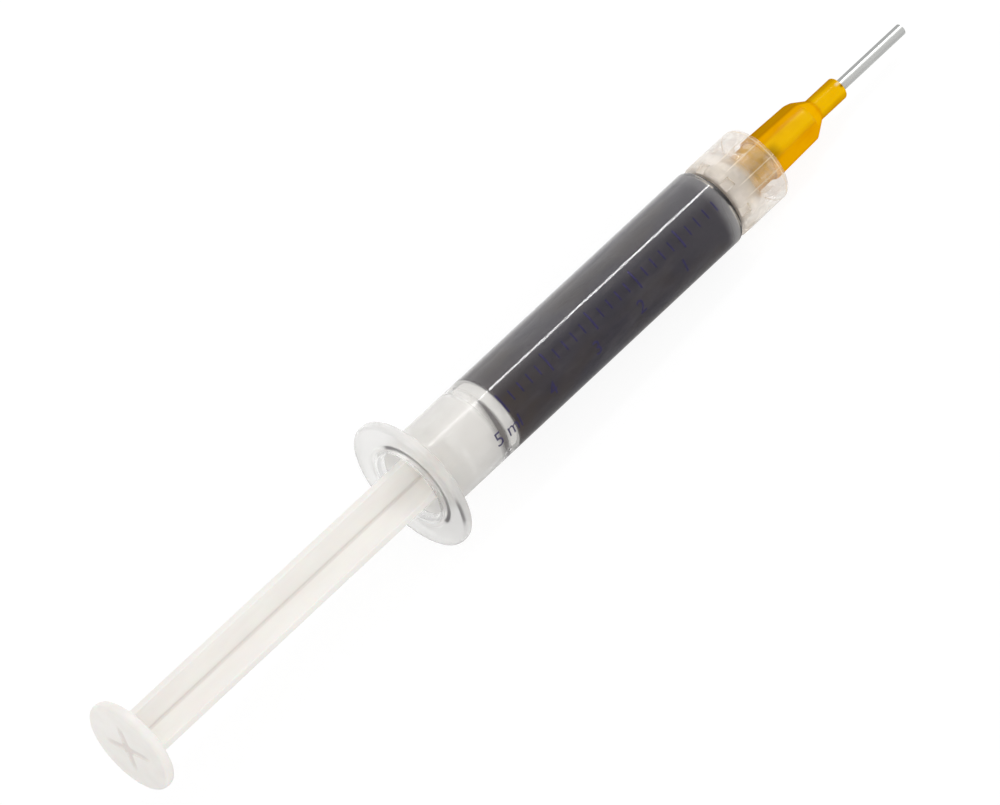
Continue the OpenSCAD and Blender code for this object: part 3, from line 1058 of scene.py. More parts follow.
@dataclass(frozen=True)
class FrostedPlastic(Finish):
    """Frosted polypropylene of the collar, clearer in front, with pale highlights painted along its
    edges.
    """

    name: str = "frosted_collar"
    colour: Colour = paint(251, 241, 231)
    warm: Colour = paint(248, 231, 190)
    # the milky share's colours; cream where pale highlights are painted
    edge: Colour = paint(248, 239, 228)
    cream: Colour = paint(255, 230, 190)
    clear: float = 0.8
    roughness: Span = (0.096, 0.15)
    milky_roughness: float = 0.3
    flats: int = 8
    flat_half: float = 9.5
    # where pale highlights are painted along the flats' edges and the front rim, strongest on the
    # side towards the camera
    highlight_band: Mask = (-0.8, 0.8, 1.2)
    highlight_x: Mask = (67.5, 71.0)
    highlight_around: float = 112.5
    highlight_fade: Mask = (20, 40, 1, 0.4)
    outside: Mask = (5.95, 6.15)
    front_x: Mask = (68.5, 72.5)
    rim_highlight_x: Mask = (75.35, 75.55, 0.2)
    notch_band: Mask = (5.75, 5.92, 0.05)
    notch_x: Mask = (68.2, 68.1)
    flowed: Mask = (0.35, 0.7, 0, 0.5)
    thin: Mask = (0, 1, 0.6, 0.25)
    milk: Mask = (0, 1, 0.42, 0.08)
    blotted: Mask = (0.4, 0.6, -0.07, 0.07)
    flow: Grain = (0.5, 3, (0.6, 1, 1))
    blots: Grain = (0.33, 2, (1, 1, 1))
    dent: float = 0.1
    front_warmth: float = 0.5
    highlight_share: float = 0.35
    notch_share: float = 0.15

    def surface(self, board: Board, spot: Wire) -> Wire:
        """Frosted plastic under a milky share that paints pale highlights along the edges and draws
        the notches.

        Args:
            board: the board to put the nodes on.
            spot: the point in the syringe's own frame, in mm.

        Returns:
            The surface.
        """
        x, y, z = board.axes(spot)
        away, around = board.polar(y, z)
        front = x.ramp(*self.front_x)
        # painted pale highlights along the flats' edges and the front rim
        lines, other = (around.off(BELOW + side, CIRCLE / self.flats).between(*self.highlight_band)
                        for side in (-self.flat_half, self.flat_half))
        lines = (lines + other) * around.off(self.highlight_around).size().ramp(*self.highlight_fade)
        lines = (lines * x.ramp(*self.highlight_x)).most(x.between(*self.rim_highlight_x))
        notches = away.between(*self.notch_band) * x.ramp(*self.notch_x)
        flow = board.noise(spot, self.flow).ramp(*self.flowed)
        blots = board.noise(spot, self.blots).ramp(*self.blotted)
        rough, dent = board.pores(spot, self.roughness, self.dent)
        body = board.blend(flow + front * self.front_warmth, self.colour, self.warm)
        clear = board.gloss(Base_Color=body, Roughness=rough, IOR=PLASTIC_IOR, Normal=dent,
                            Transmission_Weight=self.clear, Alpha=front.ramp(*self.thin))
        milky = board.gloss(Base_Color=board.blend(lines * front, self.edge, self.cream),
                            Roughness=self.milky_roughness, IOR=PLASTIC_IOR, Normal=dent)
        share = (front.ramp(*self.milk) + blots
                 + lines * away.ramp(*self.outside) * self.highlight_share
                 + notches * self.notch_share)
        return board.layer(share, clear, milky)


@dataclass(frozen=True)
class DrawnSteel(Finish):
    """Stainless tube with fine drawing lines along it and a painted dark reflection along one
    flank.
    """

    name: str = "steel_tube"
    colour: Colour = paint(240, 241, 238)
    line: Colour = paint(218, 219, 217)
    # painted dark reflection along one flank
    dark_reflection: Colour = paint(132, 133, 132)
    dark_reflection_around: float = 62.0
    dark_reflection_band: Mask = (-28, 28, 16)
    metal: float = 0.6
    roughness: Span = (0.2, 0.36)
    lines: Grain = (14, 3, (0.03, 1, 1))
    dent: float = 0.3

    def surface(self, board: Board, spot: Wire) -> Wire:
        """Bright steel, drawn along the axis, with a painted dark reflection along one flank.

        Args:
            board: the board to put the nodes on.
            spot: the point in the syringe's own frame, in mm.

        Returns:
            The surface.
        """
        _, y, z = board.axes(spot)
        _, around = board.polar(y, z)
        lines = board.noise(spot, self.lines)
        body = board.blend(lines.ramp(*MIDDLE), self.colour, self.line)
        # painted dark reflection along one flank
        body = board.blend(around.off(self.dark_reflection_around).between(*self.dark_reflection_band), body, self.dark_reflection)
        return board.gloss(Base_Color=body, Metallic=self.metal,
                           Roughness=lines.ramp(*MIDDLE, *self.roughness),
                           Normal=board.relief(lines, PORE_MM, self.dent))


@dataclass(frozen=True)
class Ink(Finish):
    """Violet printing ink, a little thin in places."""

    name: str = "violet_ink"
    colour: Colour = paint(42, 34, 84)
    thin: Colour = paint(66, 56, 112)
    wear: Grain = (3, 3, (1, 1, 1))
    worn: Mask = (0.45, 0.7)
    roughness: Mask = (0.3, 0.7, 0.35, 0.55)
    cover: Mask = (0.25, 0.8, 0.95, 0.7)

    def surface(self, board: Board, spot: Wire) -> Wire:
        """Ink that wears through in small clouds."""
        wear = board.noise(spot, self.wear)
        return board.gloss(Base_Color=board.blend(wear.ramp(*self.worn), self.colour, self.thin),
                           Roughness=wear.ramp(*self.roughness), Alpha=wear.ramp(*self.cover))


class Look(Enum):
    """The finishes of the pieces; each is named after its slot in the record."""

    BARREL = ClearPlastic()
    PASTE = PasteFinish()
    ROD = RodPlastic()
    STOPPER = SatinPlastic("pale_rubber", paint(252, 250, 247), paint(248, 246, 242),
                           (0.425, 0.6), 0.0)
    COLLAR = FrostedPlastic()
    HUB = AmberPlastic()
    TUBE = DrawnSteel()
    BEAD = Adhesive()
    INK = Ink()


def hand_over(piece: Object, body: Body | None, look: Look, *nodes: str) -> Object:
    """Dresses a piece, fixes it to its body, and lets it stand for its CAD nodes.

    Args:
        piece: the finished piece.
        body: the body that carries it, or nothing for a piece that is fixed to none.
        look: its finish.
        nodes: the CAD nodes that it replaces.

    Returns:
        The piece.
    """
    piece.data.materials.clear()
    piece.data.materials.append(look.value.make())
    if body is not None:
        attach(piece, body.value)
    if nodes:
        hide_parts(*nodes)
    return piece


class SubAssembly(ABC):
    """A part of the syringe, whose fields are its sizes."""

    @abstractmethod
    def build(self) -> list[Object]:
        """Makes its pieces, dresses them and hands them over."""


@dataclass(frozen=True)
class Barrel(SubAssembly):
    """Clear moulding: finger flange, tube, shoulder, journal with its snap ring, and nozzle."""

    tube_r: float = 6.5
    bore_r: float = 5.75
    flange_r: float = 11.0
    flange_t: float = 1.7
    end_x: float = 66.0
    floor_x: float = 65.0
    floor_slope: float = 0.325
    stop_x: float = 4.4
    stop_h: float = 0.15
    journal_r: float = 4.6
    snap_x: float = 67.9
    snap_h: float = 0.4
    nose_x: float = 69.2
    tip_x: float = 77.65
    tip_r: float = 1.965
    hole_r: float = 1.05
    taper: float = 0.03
    sides: int = 160
    arc_deg: float = 9.0

    def corners(self) -> Corners:
        """The outline, from the flange's rear face over the outside and back through the bore.

        Returns:
            The corners in order, as distance along the axis, radius and rounding.
        """
        nozzle_r = self.tip_r + self.taper * (self.tip_x - self.nose_x)
        funnel = (self.bore_r - self.hole_r) * self.floor_slope
        snap_r = self.journal_r + self.snap_h
        return [
            (0, self.bore_r + 0.4, 0.12), (0, self.flange_r, 0.6),
            (self.flange_t, self.flange_r, 0.6), (self.flange_t, self.tube_r, 0.7),
            (self.end_x, self.tube_r, 1.0), (self.end_x, self.journal_r, 0.15),
            (self.snap_x, self.journal_r, 0.08), (self.snap_x, snap_r, 0.1),
            (self.snap_x + 0.433, snap_r, 0.2), (self.nose_x, self.journal_r - 0.2, 0.12),
            (self.nose_x, nozzle_r, 0.15), (self.tip_x, self.tip_r, 0.12),
            (self.tip_x, self.hole_r, 0.06), (self.floor_x + funnel, self.hole_r, 0.1),
            (self.floor_x, self.bore_r, 0.15), (self.stop_x + 0.3, self.bore_r, 0.3),
            (self.stop_x, self.bore_r - self.stop_h, 0.2), (self.stop_x - 0.3, self.bore_r, 0.3),
            (0.4, self.bore_r, 0.15),
        ]

    def build(self) -> list[Object]:
        """Turns the moulding and hands it over."""
        piece = BENCH.turned("clear_barrel", self.corners(), self.sides, closed=True,
                             step_deg=self.arc_deg)
        return [hand_over(BENCH.lay_down(piece), Body.BARREL, Look.BARREL, "barrel")]


@dataclass(frozen=True)
class Filling(SubAssembly):
    """The column of paste and its thin core in the nozzle, wet against the clear wall."""

    rear_x: float = 16.84
    front_x: float = 65.02
    tip_x: float = 77.6
    wall_r: float = 5.79
    core_r: float = 1.08
    nose_r: float = 1.4
    nose_h: float = 1.4
    floor_slope: float = 0.325
    sides: int = 160

    def build(self) -> list[Object]:
        """Turns the column; only its two ends have rings.

        Returns:
            The finished pieces.
        """
        rise = (self.wall_r - self.core_r) * self.floor_slope
        piece = BENCH.turned("paste_column", [
            (self.rear_x + self.nose_h, 0), (self.rear_x + self.nose_h, self.nose_r),
            (self.rear_x, self.wall_r), (self.front_x, self.wall_r),
            (self.front_x + rise, self.core_r), (self.tip_x, self.core_r, 0.1),
            (self.tip_x, 0)], self.sides)
        hand_over(BENCH.lay_down(piece), None, Look.PASTE, "solder_paste")
        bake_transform(piece)
        return [piece]


@dataclass(frozen=True)
class Stopper(SubAssembly):
    """Soft stopper with two lips, and the crescent of paste caught behind its front lip."""

    rear_x: float = 6.3
    front_x: float = 16.8
    lip_r: float = 5.77
    waist_depth: float = 0.3
    groove_x: float = 12.9
    groove_w: float = 2.2
    groove_depth: float = 0.7
    nose_r: float = 1.4
    nose_h: float = 1.4
    pocket: Corners = ((12.2, 0), (12.2, 1.15), (9.5, 3.3, 0.1), (8.2, 3.3, 0.1), (8.2, 2.3, 0.1))
    pocket_r: float = 2.3
    smear_around: float = 162.0
    smear_slant: float = 14.5
    smear_least: float = -0.55
    smear_sides: int = 160

    def rubber(self) -> Object:
        """Turns the stopper with the pocket for the rod's head.

        Returns:
            The stopper.
        """
        groove_r, waist_r = self.lip_r - self.groove_depth, self.lip_r - self.waist_depth
        groove_end, nose_x = self.groove_x + self.groove_w, self.front_x + self.nose_h
        piece = BENCH.turned("stopper_rubber", [
            *self.pocket, (self.rear_x, self.pocket_r),
            (self.rear_x, self.lip_r - 0.05, 0.3), (self.rear_x + 1.9, self.lip_r, 0.2),
            (self.rear_x + 2.1, waist_r, 0.2), (self.groove_x - 0.25, waist_r, 0.15),
            (self.groove_x, groove_r, 0.15), (groove_end - 0.25, groove_r, 0.15),
            (groove_end, self.lip_r, 0.12), (self.front_x, self.lip_r, 0.05),
            (nose_x, self.nose_r, 0.4), (nose_x, 0)])
        return hand_over(BENCH.lay_down(piece), Body.PLUNGER, Look.STOPPER, "stopper")

    def smear(self) -> Object:
        """Turns a ring of paste and cuts it to a crescent with a slanting plane.

        Returns:
            The crescent.
        """
        low, high = self.lip_r - self.groove_depth + 0.02, self.lip_r + 0.01
        rear, front = self.groove_x + 0.02, self.groove_x + self.groove_w - 0.22
        piece = BENCH.turned("caught_paste", [
            (rear, low), (rear, high), (front, high, 0.1), (front, low)],
                             self.smear_sides, closed=True)
        BENCH.edit(piece)
        slant = math.radians(self.smear_slant)
        normal = Vector((math.cos(slant), 0, 0)) + spoke(self.smear_around) * math.sin(slant)
        bpy.ops.mesh.bisect(plane_co=(front - 0.05 - self.smear_least, 0, 0), plane_no=normal,
                            use_fill=True, clear_inner=True)
        BENCH.clean()
        return hand_over(BENCH.lay_down(piece), Body.PLUNGER, Look.PASTE, "paste_smear")

    def build(self) -> list[Object]:
        """Makes both."""
        return [self.rubber(), self.smear()]


@dataclass(frozen=True)
class PlungerRod(SubAssembly):
    """White moulding: thumb rest, four ribs, the disc behind the stopper, and the head."""

    rear_x: float = -59.1
    thumb_r: float = 7.7
    thumb_t: float = 1.7
    rib_r: float = 4.78
    rib_t: float = 1.2
    rib_around: float = 74.2
    rib_easing: float = 0.15
    fillet: float = 0.3
    flare: float = 0.7
    disc_x: float = 5.3
    disc_r: float = 5.3
    disc_t: float = 1.0
    stem_r: float = 2.2
    head: Corners = ((8.3, 2.2), (8.3, 3.2, 0.15), (9.57, 3.2, 0.3), (12.1, 1.1, 0.3), (12.1, 0))
    sink_w: float = 1.3
    sink_reach: float = 4.8
    sink_depth: float = 0.17
    thumb_sides: int = 144
    disc_sides: int = 96
    smooth_deg: float = 35.0

    def ribs(self) -> Object:
        """Extrudes the cross of ribs, flares it at the rear and fillets its valleys.

        Returns:
            The ribs.
        """
        start, half, top = self.rear_x + self.thumb_t - 0.2, self.rib_t / 2, self.rib_r - 0.01
        foot = self.flare + 0.2
        cross = BENCH.settle(BENCH.add(bpy.ops.mesh.primitive_plane_add, size=self.rib_t,
                                       rotation=(0, math.pi / 2, 0)))
        BENCH.edit(cross)
        sides = ((1, 0), (0, 1), (-1, 0), (0, -1))
        for y, z in sides:
            BENCH.pick(Pick.EDGES, lambda m: math.hypot(m.y - y * half, m.z - z * half) < NEAR_MM)
            BENCH.extrude(0, y * (self.rib_r - half), z * (self.rib_r - half))
        bpy.ops.mesh.select_mode(type="FACE")
        bpy.ops.mesh.select_all(action="SELECT")
        bpy.ops.transform.translate(value=(start, 0, 0))
        for length in (foot, self.disc_x + 0.1 - start - foot):
            BENCH.extrude(length)
        BENCH.clean()
        BENCH.edit(cross)
        for y, z in sides:
            BENCH.pick(Pick.POINTS, lambda v: v.x < start + 0.01 and v.y * y + v.z * z > top)
            bpy.ops.transform.translate(value=(0, y * self.flare, z * self.flare))
        BENCH.pick(Pick.EDGES, lambda m: max(abs(abs(m.y) - half), abs(abs(m.z) - half)) < NEAR_MM)
        BENCH.bevel(self.fillet, segments=5)
        BENCH.pick(Pick.EDGES, lambda m: (start + 0.01 < m.x < self.disc_x
                                      and max(abs(m.y), abs(m.z)) > top
                                      and min(abs(m.y), abs(m.z)) > 0.5))
        BENCH.bevel(self.rib_easing, segments=3)
        BENCH.clean()
        return cross

    def sink(self, thumb: Object) -> None:
        """Sinks the crossed marks that the ribs leave in the thumb rest's face as they cool.

        Args:
            thumb: the thumb rest, before the ribs are joined to it.
        """
        for turn in (0, 90):
            mark = BENCH.add(bpy.ops.mesh.primitive_uv_sphere_add, segments=48, ring_count=24,
                             radius=1)
            BENCH.edit(mark)
            bpy.ops.transform.resize(value=(self.sink_depth, self.sink_w / 2, self.sink_reach))
            bpy.ops.transform.translate(value=(self.rear_x, 0, 0))
            BENCH.leave()
            BENCH.cut(thumb, BENCH.settle(mark, about(turn)))

    def build(self) -> list[Object]:
        """Turns the round parts, joins the ribs to them and hands the rod over.

        Returns:
            The finished pieces.
        """
        front, disc_end = self.rear_x + self.thumb_t, self.disc_x + self.disc_t
        thumb = BENCH.turned("thumb_rest", [
            (self.rear_x, 0), (self.rear_x, self.thumb_r, 0.6), (front, self.thumb_r, 0.6),
            (front, 0)], self.thumb_sides)
        self.sink(thumb)
        disc = BENCH.turned("rear_disc", [
            (self.disc_x, 0), (self.disc_x, self.disc_r, 0.2), (disc_end, self.disc_r, 0.2),
            (disc_end, self.stem_r, 0.2), *self.head], self.disc_sides)
        rod = BENCH.join("plunger_moulding", [thumb, disc, self.ribs()])
        BENCH.lay_down(rod, self.smooth_deg, self.rib_around)
        return [hand_over(rod, Body.PLUNGER, Look.ROD, "plunger_rod")]


@dataclass(frozen=True)
class DispensingTip(SubAssembly):
    """Blunt steel tube and the adhesive bead that holds it in the amber hub."""

    tube_r: float = 0.915
    bore_r: float = 0.685
    rear_x: float = 85.96
    end_x: float = 108.6
    well_x: float = 93.715
    well_r: float = 1.285
    neck_end: float = 94.3
    bead_r: float = 0.93
    sides: int = 64

    def tube(self) -> Object:
        """Turns the steel tube with its ends deburred.

        Returns:
            The tube.
        """
        piece = BENCH.turned("steel_tube", [
            (self.rear_x, self.bore_r, 0.03), (self.rear_x, self.tube_r, 0.03),
            (self.end_x, self.tube_r, 0.06), (self.end_x, self.bore_r, 0.05)],
                             self.sides, closed=True)
        return hand_over(BENCH.lay_down(piece), Body.TIP, Look.TUBE, "cannula")

    def bead(self) -> Object:
        """Turns the bead with a wet, sloping face.

        Returns:
            The bead.
        """
        piece = BENCH.turned("adhesive_ring", [
            (self.well_x, self.bead_r), (self.well_x, self.well_r, 0.05),
            (self.neck_end, self.well_r, 0.08), (self.neck_end + 0.2, 1.1, 0.15),
            (self.neck_end + 0.35, self.bead_r)], self.sides, closed=True)
        return hand_over(BENCH.lay_down(piece), Body.TIP, Look.BEAD, "adhesive_bead")

    def build(self) -> list[Object]:
        """Makes both."""
        return [self.tube(), self.bead()]


@dataclass(frozen=True)
class LockCollar(SubAssembly):
    """Frosted collar with flats, rim notches, a snap groove and a two-start thread."""

    rear_x: float = 66.3
    end_x: float = 76.2
    outer_r: float = 6.35
    lip_r: float = 4.7
    groove_x: float = 67.8
    groove_r: float = 5.1
    chamber_x: float = 69.5
    thread_r: float = 4.1
    flats: int = 8
    flat_half: float = 9.5
    notch: tuple[float, float, float] = (1.8, 0.5, 1.6)
    notch_easing: float = 0.12
    lead: float = 5.0
    ridge_x: float = 70.05
    ridge_around: float = -35.44
    ridge_sweep: float = 381.6
    ridge_root: Span = (4.22, 1.1)
    ridge_crest: Span = (3.5, 0.5)
    sides: int = 180
    arc_deg: float = 7.5
    smooth_deg: float = 8.0

    def shell(self) -> Object:
        """Turns the collar and cuts its flats, whose edges are eased.

        Returns:
            The collar, still without its thread and notches.
        """
        shell = BENCH.turned("lock_collar_body", [
            (self.rear_x, self.lip_r, 0.15), (self.rear_x, self.outer_r, 0.7),
            (self.end_x, self.outer_r, 0.7), (self.end_x, self.thread_r + 0.3, 0.1),
            (self.end_x - 0.3, self.thread_r, 0.1), (self.chamber_x, self.thread_r, 0.1),
            (self.chamber_x - 0.5, self.groove_r, 0.1), (self.groove_x, self.groove_r, 0.1),
            (self.groove_x, self.lip_r, 0.1)], self.sides, closed=True, step_deg=self.arc_deg)
        flat_r = self.outer_r * math.cos(math.radians(self.flat_half))
        BENCH.edit(shell)
        for k in range(self.flats):
            out = spoke(BELOW + CIRCLE * k / self.flats)
            bpy.ops.mesh.select_all(action="SELECT")
            bpy.ops.mesh.bisect(plane_co=out * flat_r, plane_no=out, use_fill=True,
                                clear_outer=True)
        BENCH.leave()
        return shell

    def notches(self, shell: Object) -> None:
        """Cuts one grip notch into the rear rim in the middle of each round zone.

        Args:
            shell: the collar to cut.
        """
        length, depth, width = self.notch
        floor_r, end_x = self.outer_r - depth, self.rear_x + length
        for k in range(self.flats):
            cutter = BENCH.add(bpy.ops.mesh.primitive_cube_add, size=1)
            BENCH.edit(cutter)
            bpy.ops.transform.resize(value=(length + 1, depth + 1, width))
            bpy.ops.transform.translate(value=(
                end_x - (length + 1) / 2, floor_r + (depth + 1) / 2, 0))
            BENCH.pick(Pick.EDGES, lambda m: m.y < floor_r + 0.01 or m.x > end_x - 0.01)
            BENCH.bevel(self.notch_easing, segments=3)
            BENCH.leave()
            BENCH.cut(shell, BENCH.settle(cutter, about(BELOW + CIRCLE * (k + 0.5) / self.flats)))

    def build(self) -> list[Object]:
        """Makes the collar and raises its thread.

        Returns:
            The finished pieces.
        """
        shell = self.shell()
        self.notches(shell)
        for start in (0, 180):
            BENCH.cut(shell, BENCH.ridge(
                "thread", self.ridge_x, self.ridge_around + start, self.ridge_sweep, self.lead,
                self.ridge_root, self.ridge_crest), Cut.BOTH)
        return [hand_over(BENCH.lay_down(shell, self.smooth_deg), Body.COLLAR, Look.COLLAR,
                          "lock_collar")]


@dataclass(frozen=True)
class AmberHub(SubAssembly):
    """Amber hub: rear tube with two lugs, six-sided grip, cone and neck, all bored through."""

    rear_x: float = 71.817
    grip_x: float = 76.5
    cone_x: float = 85.9
    neck_x: float = 88.7
    end_x: float = 94.3
    grip_rear_r: float = 3.95
    grip_front_r: float = 3.65
    grip_around: float = 75.2
    grip_easing: float = 0.28
    neck_r: float = 1.85
    tube_r: float = 3.3
    socket: Corners = ((80.217, 1.903, 0.2), (85.93, 0.685), (85.93, 0.945))
    socket_r: float = 2.185
    well_r: float = 1.3
    well_depth: float = 0.6
    lug_x: float = 72.427
    lug_around: float = 194.0
    lug_sweep: float = 45.0
    lug_root: Span = (3.18, 1.1)
    lug_crest: Span = (3.9, 0.6)
    lead: float = 5.0
    sides: int = 96
    smooth_deg: float = 28.0

    def grip(self) -> Object:
        """Eases the edges of a tapered six-sided bar and keeps what lies in the turned outline.

        Returns:
            The grip, still without its bore.
        """
        length = self.end_x - self.grip_x
        middle = self.grip_x + length / 2
        slope = (self.grip_rear_r - self.grip_front_r) / (self.cone_x - self.grip_x)
        bar = BENCH.settle(BENCH.add(
            bpy.ops.mesh.primitive_cone_add, vertices=6, radius1=self.grip_rear_r,
            radius2=self.grip_rear_r - slope * length, depth=length,
            location=(middle, 0, 0), rotation=(0, math.pi / 2, 0)))
        BENCH.settle(bar, about(self.grip_around))
        BENCH.edit(bar)
        BENCH.pick(Pick.EDGES, lambda m: abs(m.x - middle) < 0.1 and math.hypot(m.y, m.z) > 2)
        BENCH.bevel(self.grip_easing, segments=4)
        BENCH.leave()
        trim = BENCH.turned("grip_trim", [
            (self.grip_x, 0), (self.grip_x, self.grip_rear_r - 0.12, 0.35),
            (self.cone_x, self.grip_front_r - 0.12, 0.8), (self.neck_x, self.neck_r, 0.9),
            (self.end_x, self.neck_r, 0.25), (self.end_x, 0)], self.sides)
        return BENCH.cut(bar, trim, Cut.COMMON)

    def build(self) -> list[Object]:
        """Joins grip, rear tube and lugs, then bores them.

        Returns:
            The finished pieces.
        """
        hub = self.grip()
        overlap, well_x = self.grip_x + 1, self.end_x - self.well_depth
        tube = BENCH.turned("hub_tube", [
            (self.rear_x, 0), (self.rear_x, self.tube_r, 0.1), (overlap, self.tube_r),
            (overlap, 0)], self.sides)
        BENCH.cut(hub, tube, Cut.BOTH)
        inside = BENCH.turned("hub_inside", [
            (self.rear_x - 1, 0), (self.rear_x - 1, self.socket_r), *self.socket,
            (well_x, self.socket[-1][1]), (well_x, self.well_r), (self.end_x + 1, self.well_r),
            (self.end_x + 1, 0)], self.sides)
        BENCH.cut(hub, inside)
        for start in (0, 180):
            BENCH.cut(hub, BENCH.ridge(
                "lug", self.lug_x - self.lead * self.lug_sweep / 2 / CIRCLE,
                self.lug_around - self.lug_sweep / 2 + start, self.lug_sweep, self.lead,
                self.lug_root, self.lug_crest), Cut.BOTH)
        BENCH.edit(hub)
        BENCH.clean()
        hub.name = "amber_hub"
        return [hand_over(BENCH.lay_down(hub, self.smooth_deg), Body.TIP, Look.HUB, "tip_hub")]


@dataclass(frozen=True)
class PrintedScale(SubAssembly):
    """Plain graduation printed on the tube: ticks along its side and a numeral at each step."""

    tube_r: float = 6.5
    tube_x: Span = (-1, 70)
    sheet_z: float = 7.5
    zero_x: float = 65.0
    step: float = 9.63
    steps: int = 5
    parts: int = 5
    around: float = 122.0
    long_tick: Span = (0.34, 3.2)
    short_tick: Span = (0.26, 1.7)
    numeral_around: float = 156.0
    numeral_size: float = 3.2
    numeral_behind: float = 1.6
    slice_w: float = 0.35
    proud: float = 0.012
    sides: int = 240

    def wrapped(self, flat: Object, around: float, target: Object) -> Object:
        """Slices a flat mark and presses it on the tube.

        Args:
            flat: the mark, flat in X and Y over the tube's top, in mm.
            around: the direction that it is then turned to.
            target: the tube that it is pressed on.

        Returns:
            The curved mark, still on the bench.
        """
        BENCH.edit(flat)
        reach = max(abs(v.co.y) for v in flat.data.vertices)
        cuts = max(1, math.ceil(reach / self.slice_w))
        for k in range(-cuts, cuts + 1):
            bpy.ops.mesh.select_all(action="SELECT")
            bpy.ops.mesh.bisect(plane_co=(0, k * self.slice_w, 0), plane_no=(0, 1, 0))
        BENCH.leave()
        press = flat.modifiers.new("press", "SHRINKWRAP")
        press.target, press.wrap_method, press.offset = target, "PROJECT", self.proud
        press.use_project_z, press.use_negative_direction = True, True
        bpy.ops.object.modifier_apply(modifier="press")
        return BENCH.settle(flat, about(around - 90))

    def tick(self, x: float, size: Span) -> Object:
        """A flat bar over the tube's top.

        Args:
            x: its place along the axis.
            size: how far it reaches along the axis and around the tube.

        Returns:
            The bar.
        """
        bar = BENCH.add(bpy.ops.mesh.primitive_plane_add, size=1, location=(x, 0, self.sheet_z))
        bar.scale = (*size, 1)
        return BENCH.settle(bar)

    def numeral(self, text: str, x: float) -> Object:
        """A flat numeral over the tube's top, read along the axis.

        Args:
            text: what it says.
            x: its place along the axis.

        Returns:
            The numeral.
        """
        mark = BENCH.add(bpy.ops.object.text_add)
        mark.data.body, mark.data.size = text, self.numeral_size
        mark.data.align_x, mark.data.align_y = "CENTER", "CENTER"
        bpy.ops.object.convert(target="MESH")
        mark = bpy.context.object
        mark.location = (x, 0, self.sheet_z)
        return BENCH.settle(mark)

    def build(self) -> list[Object]:
        """Prints the scale on a bare tube and keeps only the ink.

        Returns:
            The finished pieces.
        """
        tube = BENCH.turned("press_tube", [(x, self.tube_r) for x in self.tube_x], self.sides)
        marks, last = [], self.steps * self.parts
        for k in range(1, last + 1):
            x = self.zero_x - k * self.step / self.parts
            whole = k % self.parts == 0
            size = self.long_tick if whole else self.short_tick
            marks.append(self.wrapped(self.tick(x, size), self.around, tube))
            if whole:
                text = str(k // self.parts) + (" ml" if k == last else "")
                mark = self.numeral(text, x - self.numeral_behind)
                marks.append(self.wrapped(mark, self.numeral_around, tube))
        bpy.data.objects.remove(tube)
        printed = BENCH.lay_down(BENCH.join("printed_scale", marks))
        return [hand_over(printed, Body.BARREL, Look.INK)]


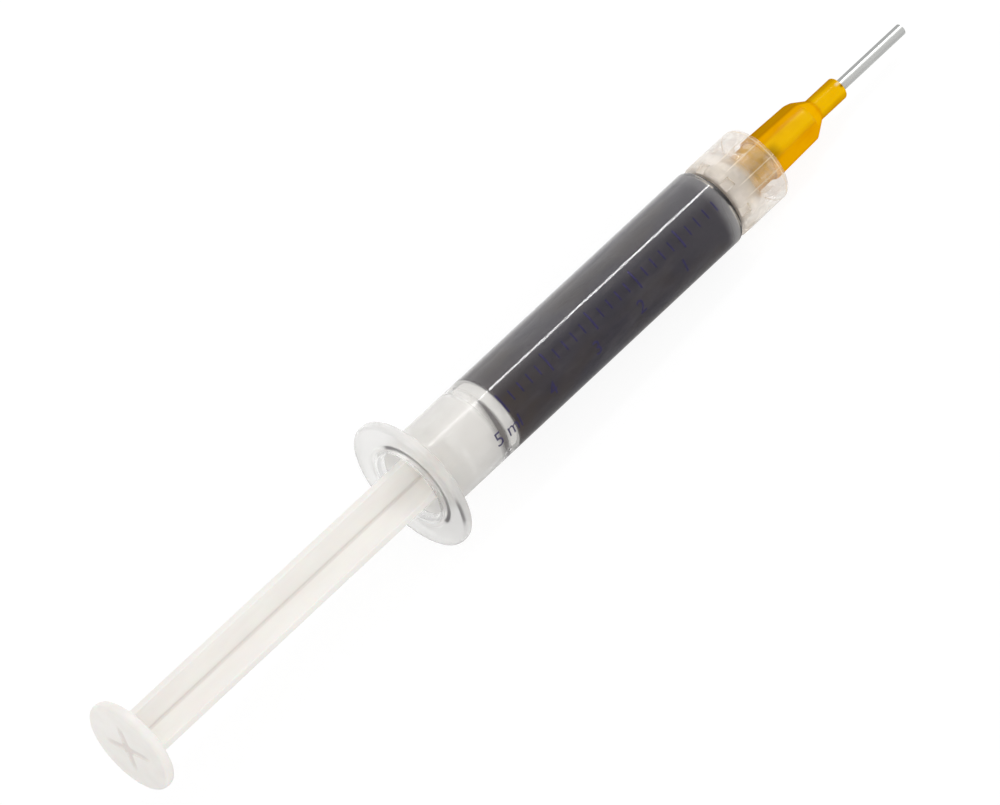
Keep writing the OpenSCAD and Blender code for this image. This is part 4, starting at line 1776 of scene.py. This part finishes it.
@dataclass(frozen=True)
class Studio:
    """Pale floor, soft light, and the camera at the photograph's angle."""

    aim_x: float = 19.6
    distance: float = 1400.0
    lens: float = 349.3
    sensor: float = 36.0
    clip: Span = (0.05, 20)
    picture_turn: Span = (0.73185, 0.68146)
    floor_size: float = 6.0
    floor_colour: Colour = paint(250, 250, 250)
    floor_shade: Colour = (0.14, 0.14, 0.14)
    floor_glow: float = 0.89
    floor_side: Span = (-0.01, 0.03)
    floor_shine: Span = (0.32, 1.425)
    world_light: float = 0.885
    lean: tuple[float, float, float] = (0.14, 0.32, 0.12)
    world_side: Span = (-0.4, 0.35)
    world_shine: Span = (0.4, 1.9)
    strip_x: float = 45.0
    strip_around: float = 75.1
    strip_distance: float = 1200.0
    strip_size: Span = (0.5, 0.095)
    strip_watts: float = 2.6

    def stand(self, data: bpy.types.ID, axes: Sequence[Vector], place: Vector) -> Object:
        """Stands a camera or a lamp in the studio.

        Args:
            data: its camera or light.
            axes: where its own X, Y and Z point.
            place: where it stands, in metres.

        Returns:
            The object.
        """
        stood = bpy.data.objects.new(data.name, data)
        bpy.context.scene.collection.objects.link(stood)
        stood.matrix_world = Matrix.Translation(place) @ Matrix(axes).transposed().to_4x4()
        return stood

    def camera(self) -> None:
        """Makes the camera from the view's slope to the axis and its direction around it."""
        slope = math.radians(VIEW_SLOPE)
        ahead, toward = REST.forward(), REST.direction(FRONT)
        view = math.sin(slope) * ahead - math.cos(slope) * toward
        along = math.cos(slope) * ahead + math.sin(slope) * toward
        across = REST.direction(FRONT + 90)
        right = self.picture_turn[0] * along + self.picture_turn[1] * across
        down = self.picture_turn[0] * across - self.picture_turn[1] * along
        data = bpy.data.cameras.new("camera")
        data.lens, data.sensor_width = self.lens, self.sensor
        data.clip_start, data.clip_end = self.clip
        place = REST.point(self.aim_x) - view * self.distance * MM
        bpy.context.scene.camera = self.stand(data, (right, -down, -view), place)

    def floor(self) -> None:
        """Makes the plain pale floor, which shows white and keeps the shadow."""
        floor = BENCH.add(bpy.ops.mesh.primitive_plane_add, size=self.floor_size)
        floor.name = "floor"
        board = Board("pale_floor")
        seen, glossy = board.rays()
        _, side, _ = board.axes(board.wire("TexCoord", out="Object"))
        matte = board.wire("BsdfDiffuse", inputs={0: self.floor_colour})
        shade = board.wire("BsdfDiffuse", inputs={0: self.floor_shade})
        glow = board.wire("Emission", inputs={0: WHITE, 1: self.floor_glow})
        shine = side.ramp(*self.floor_side, *self.floor_shine)
        mirrored = board.wire("Emission", inputs={0: WHITE, 1: shine})
        plain = board.layer(glossy, matte, mirrored)
        shown = board.wire("AddShader", inputs={0: shade, 1: glow})
        floor.data.materials.append(board.close(board.layer(seen, plain, shown)))

    def world(self) -> None:
        """A pale dome that lights the near side most and shows a bright far side in reflections."""
        world = bpy.data.worlds.new("studio")
        world.use_nodes = True
        board = Board("studio", world.node_tree)
        x, y, z = board.axes(board.wire("TexCoord", out="Generated"))
        seen, glossy = board.rays()
        glow = (1 - x * self.lean[0] - y * self.lean[1] - z * self.lean[2]) * self.world_light
        shown = y.ramp(*self.world_side, *self.world_shine)
        level = (glow * (1 - glossy) + shown * glossy) * (1 - seen) + seen
        board.node("OutputWorld", inputs={
            0: board.wire("Background", inputs={0: WHITE, 1: level})})
        bpy.context.scene.world = world

    def strip(self) -> None:
        """Hangs the long narrow lamp whose reflection draws the thin line along the tube."""
        slope = math.radians(VIEW_SLOPE)
        ahead, away = REST.forward(), REST.direction(self.strip_around)
        toward = math.cos(slope) * away + math.sin(slope) * ahead
        along = (ahead - toward * ahead.dot(toward)).normalized()
        data = bpy.data.lights.new("strip", "AREA")
        data.shape, data.size, data.size_y = "RECTANGLE", *self.strip_size
        data.energy = self.strip_watts
        place = REST.point(self.strip_x) + toward * self.strip_distance * MM
        self.stand(data, (along, toward.cross(along), toward), place)

    def build(self) -> None:
        """Sets up the whole stage."""
        self.camera()
        self.floor()
        self.world()
        self.strip()
        bpy.context.scene.view_settings.view_transform = "Standard"


def main() -> None:
    """Builds the stage and the sub-assemblies in order, and reports each piece."""
    logging.basicConfig(level=logging.INFO, format="%(name)s: %(message)s")
    Studio().build()
    for part in (Barrel(), Filling(), Stopper(), PlungerRod(), LockCollar(), AmberHub(),
                 DispensingTip(), PrintedScale()):
        for piece in part.build():
            log.info("%s: %d faces", piece.name, len(piece.data.polygons))


if __name__ == "__main__":
    main()
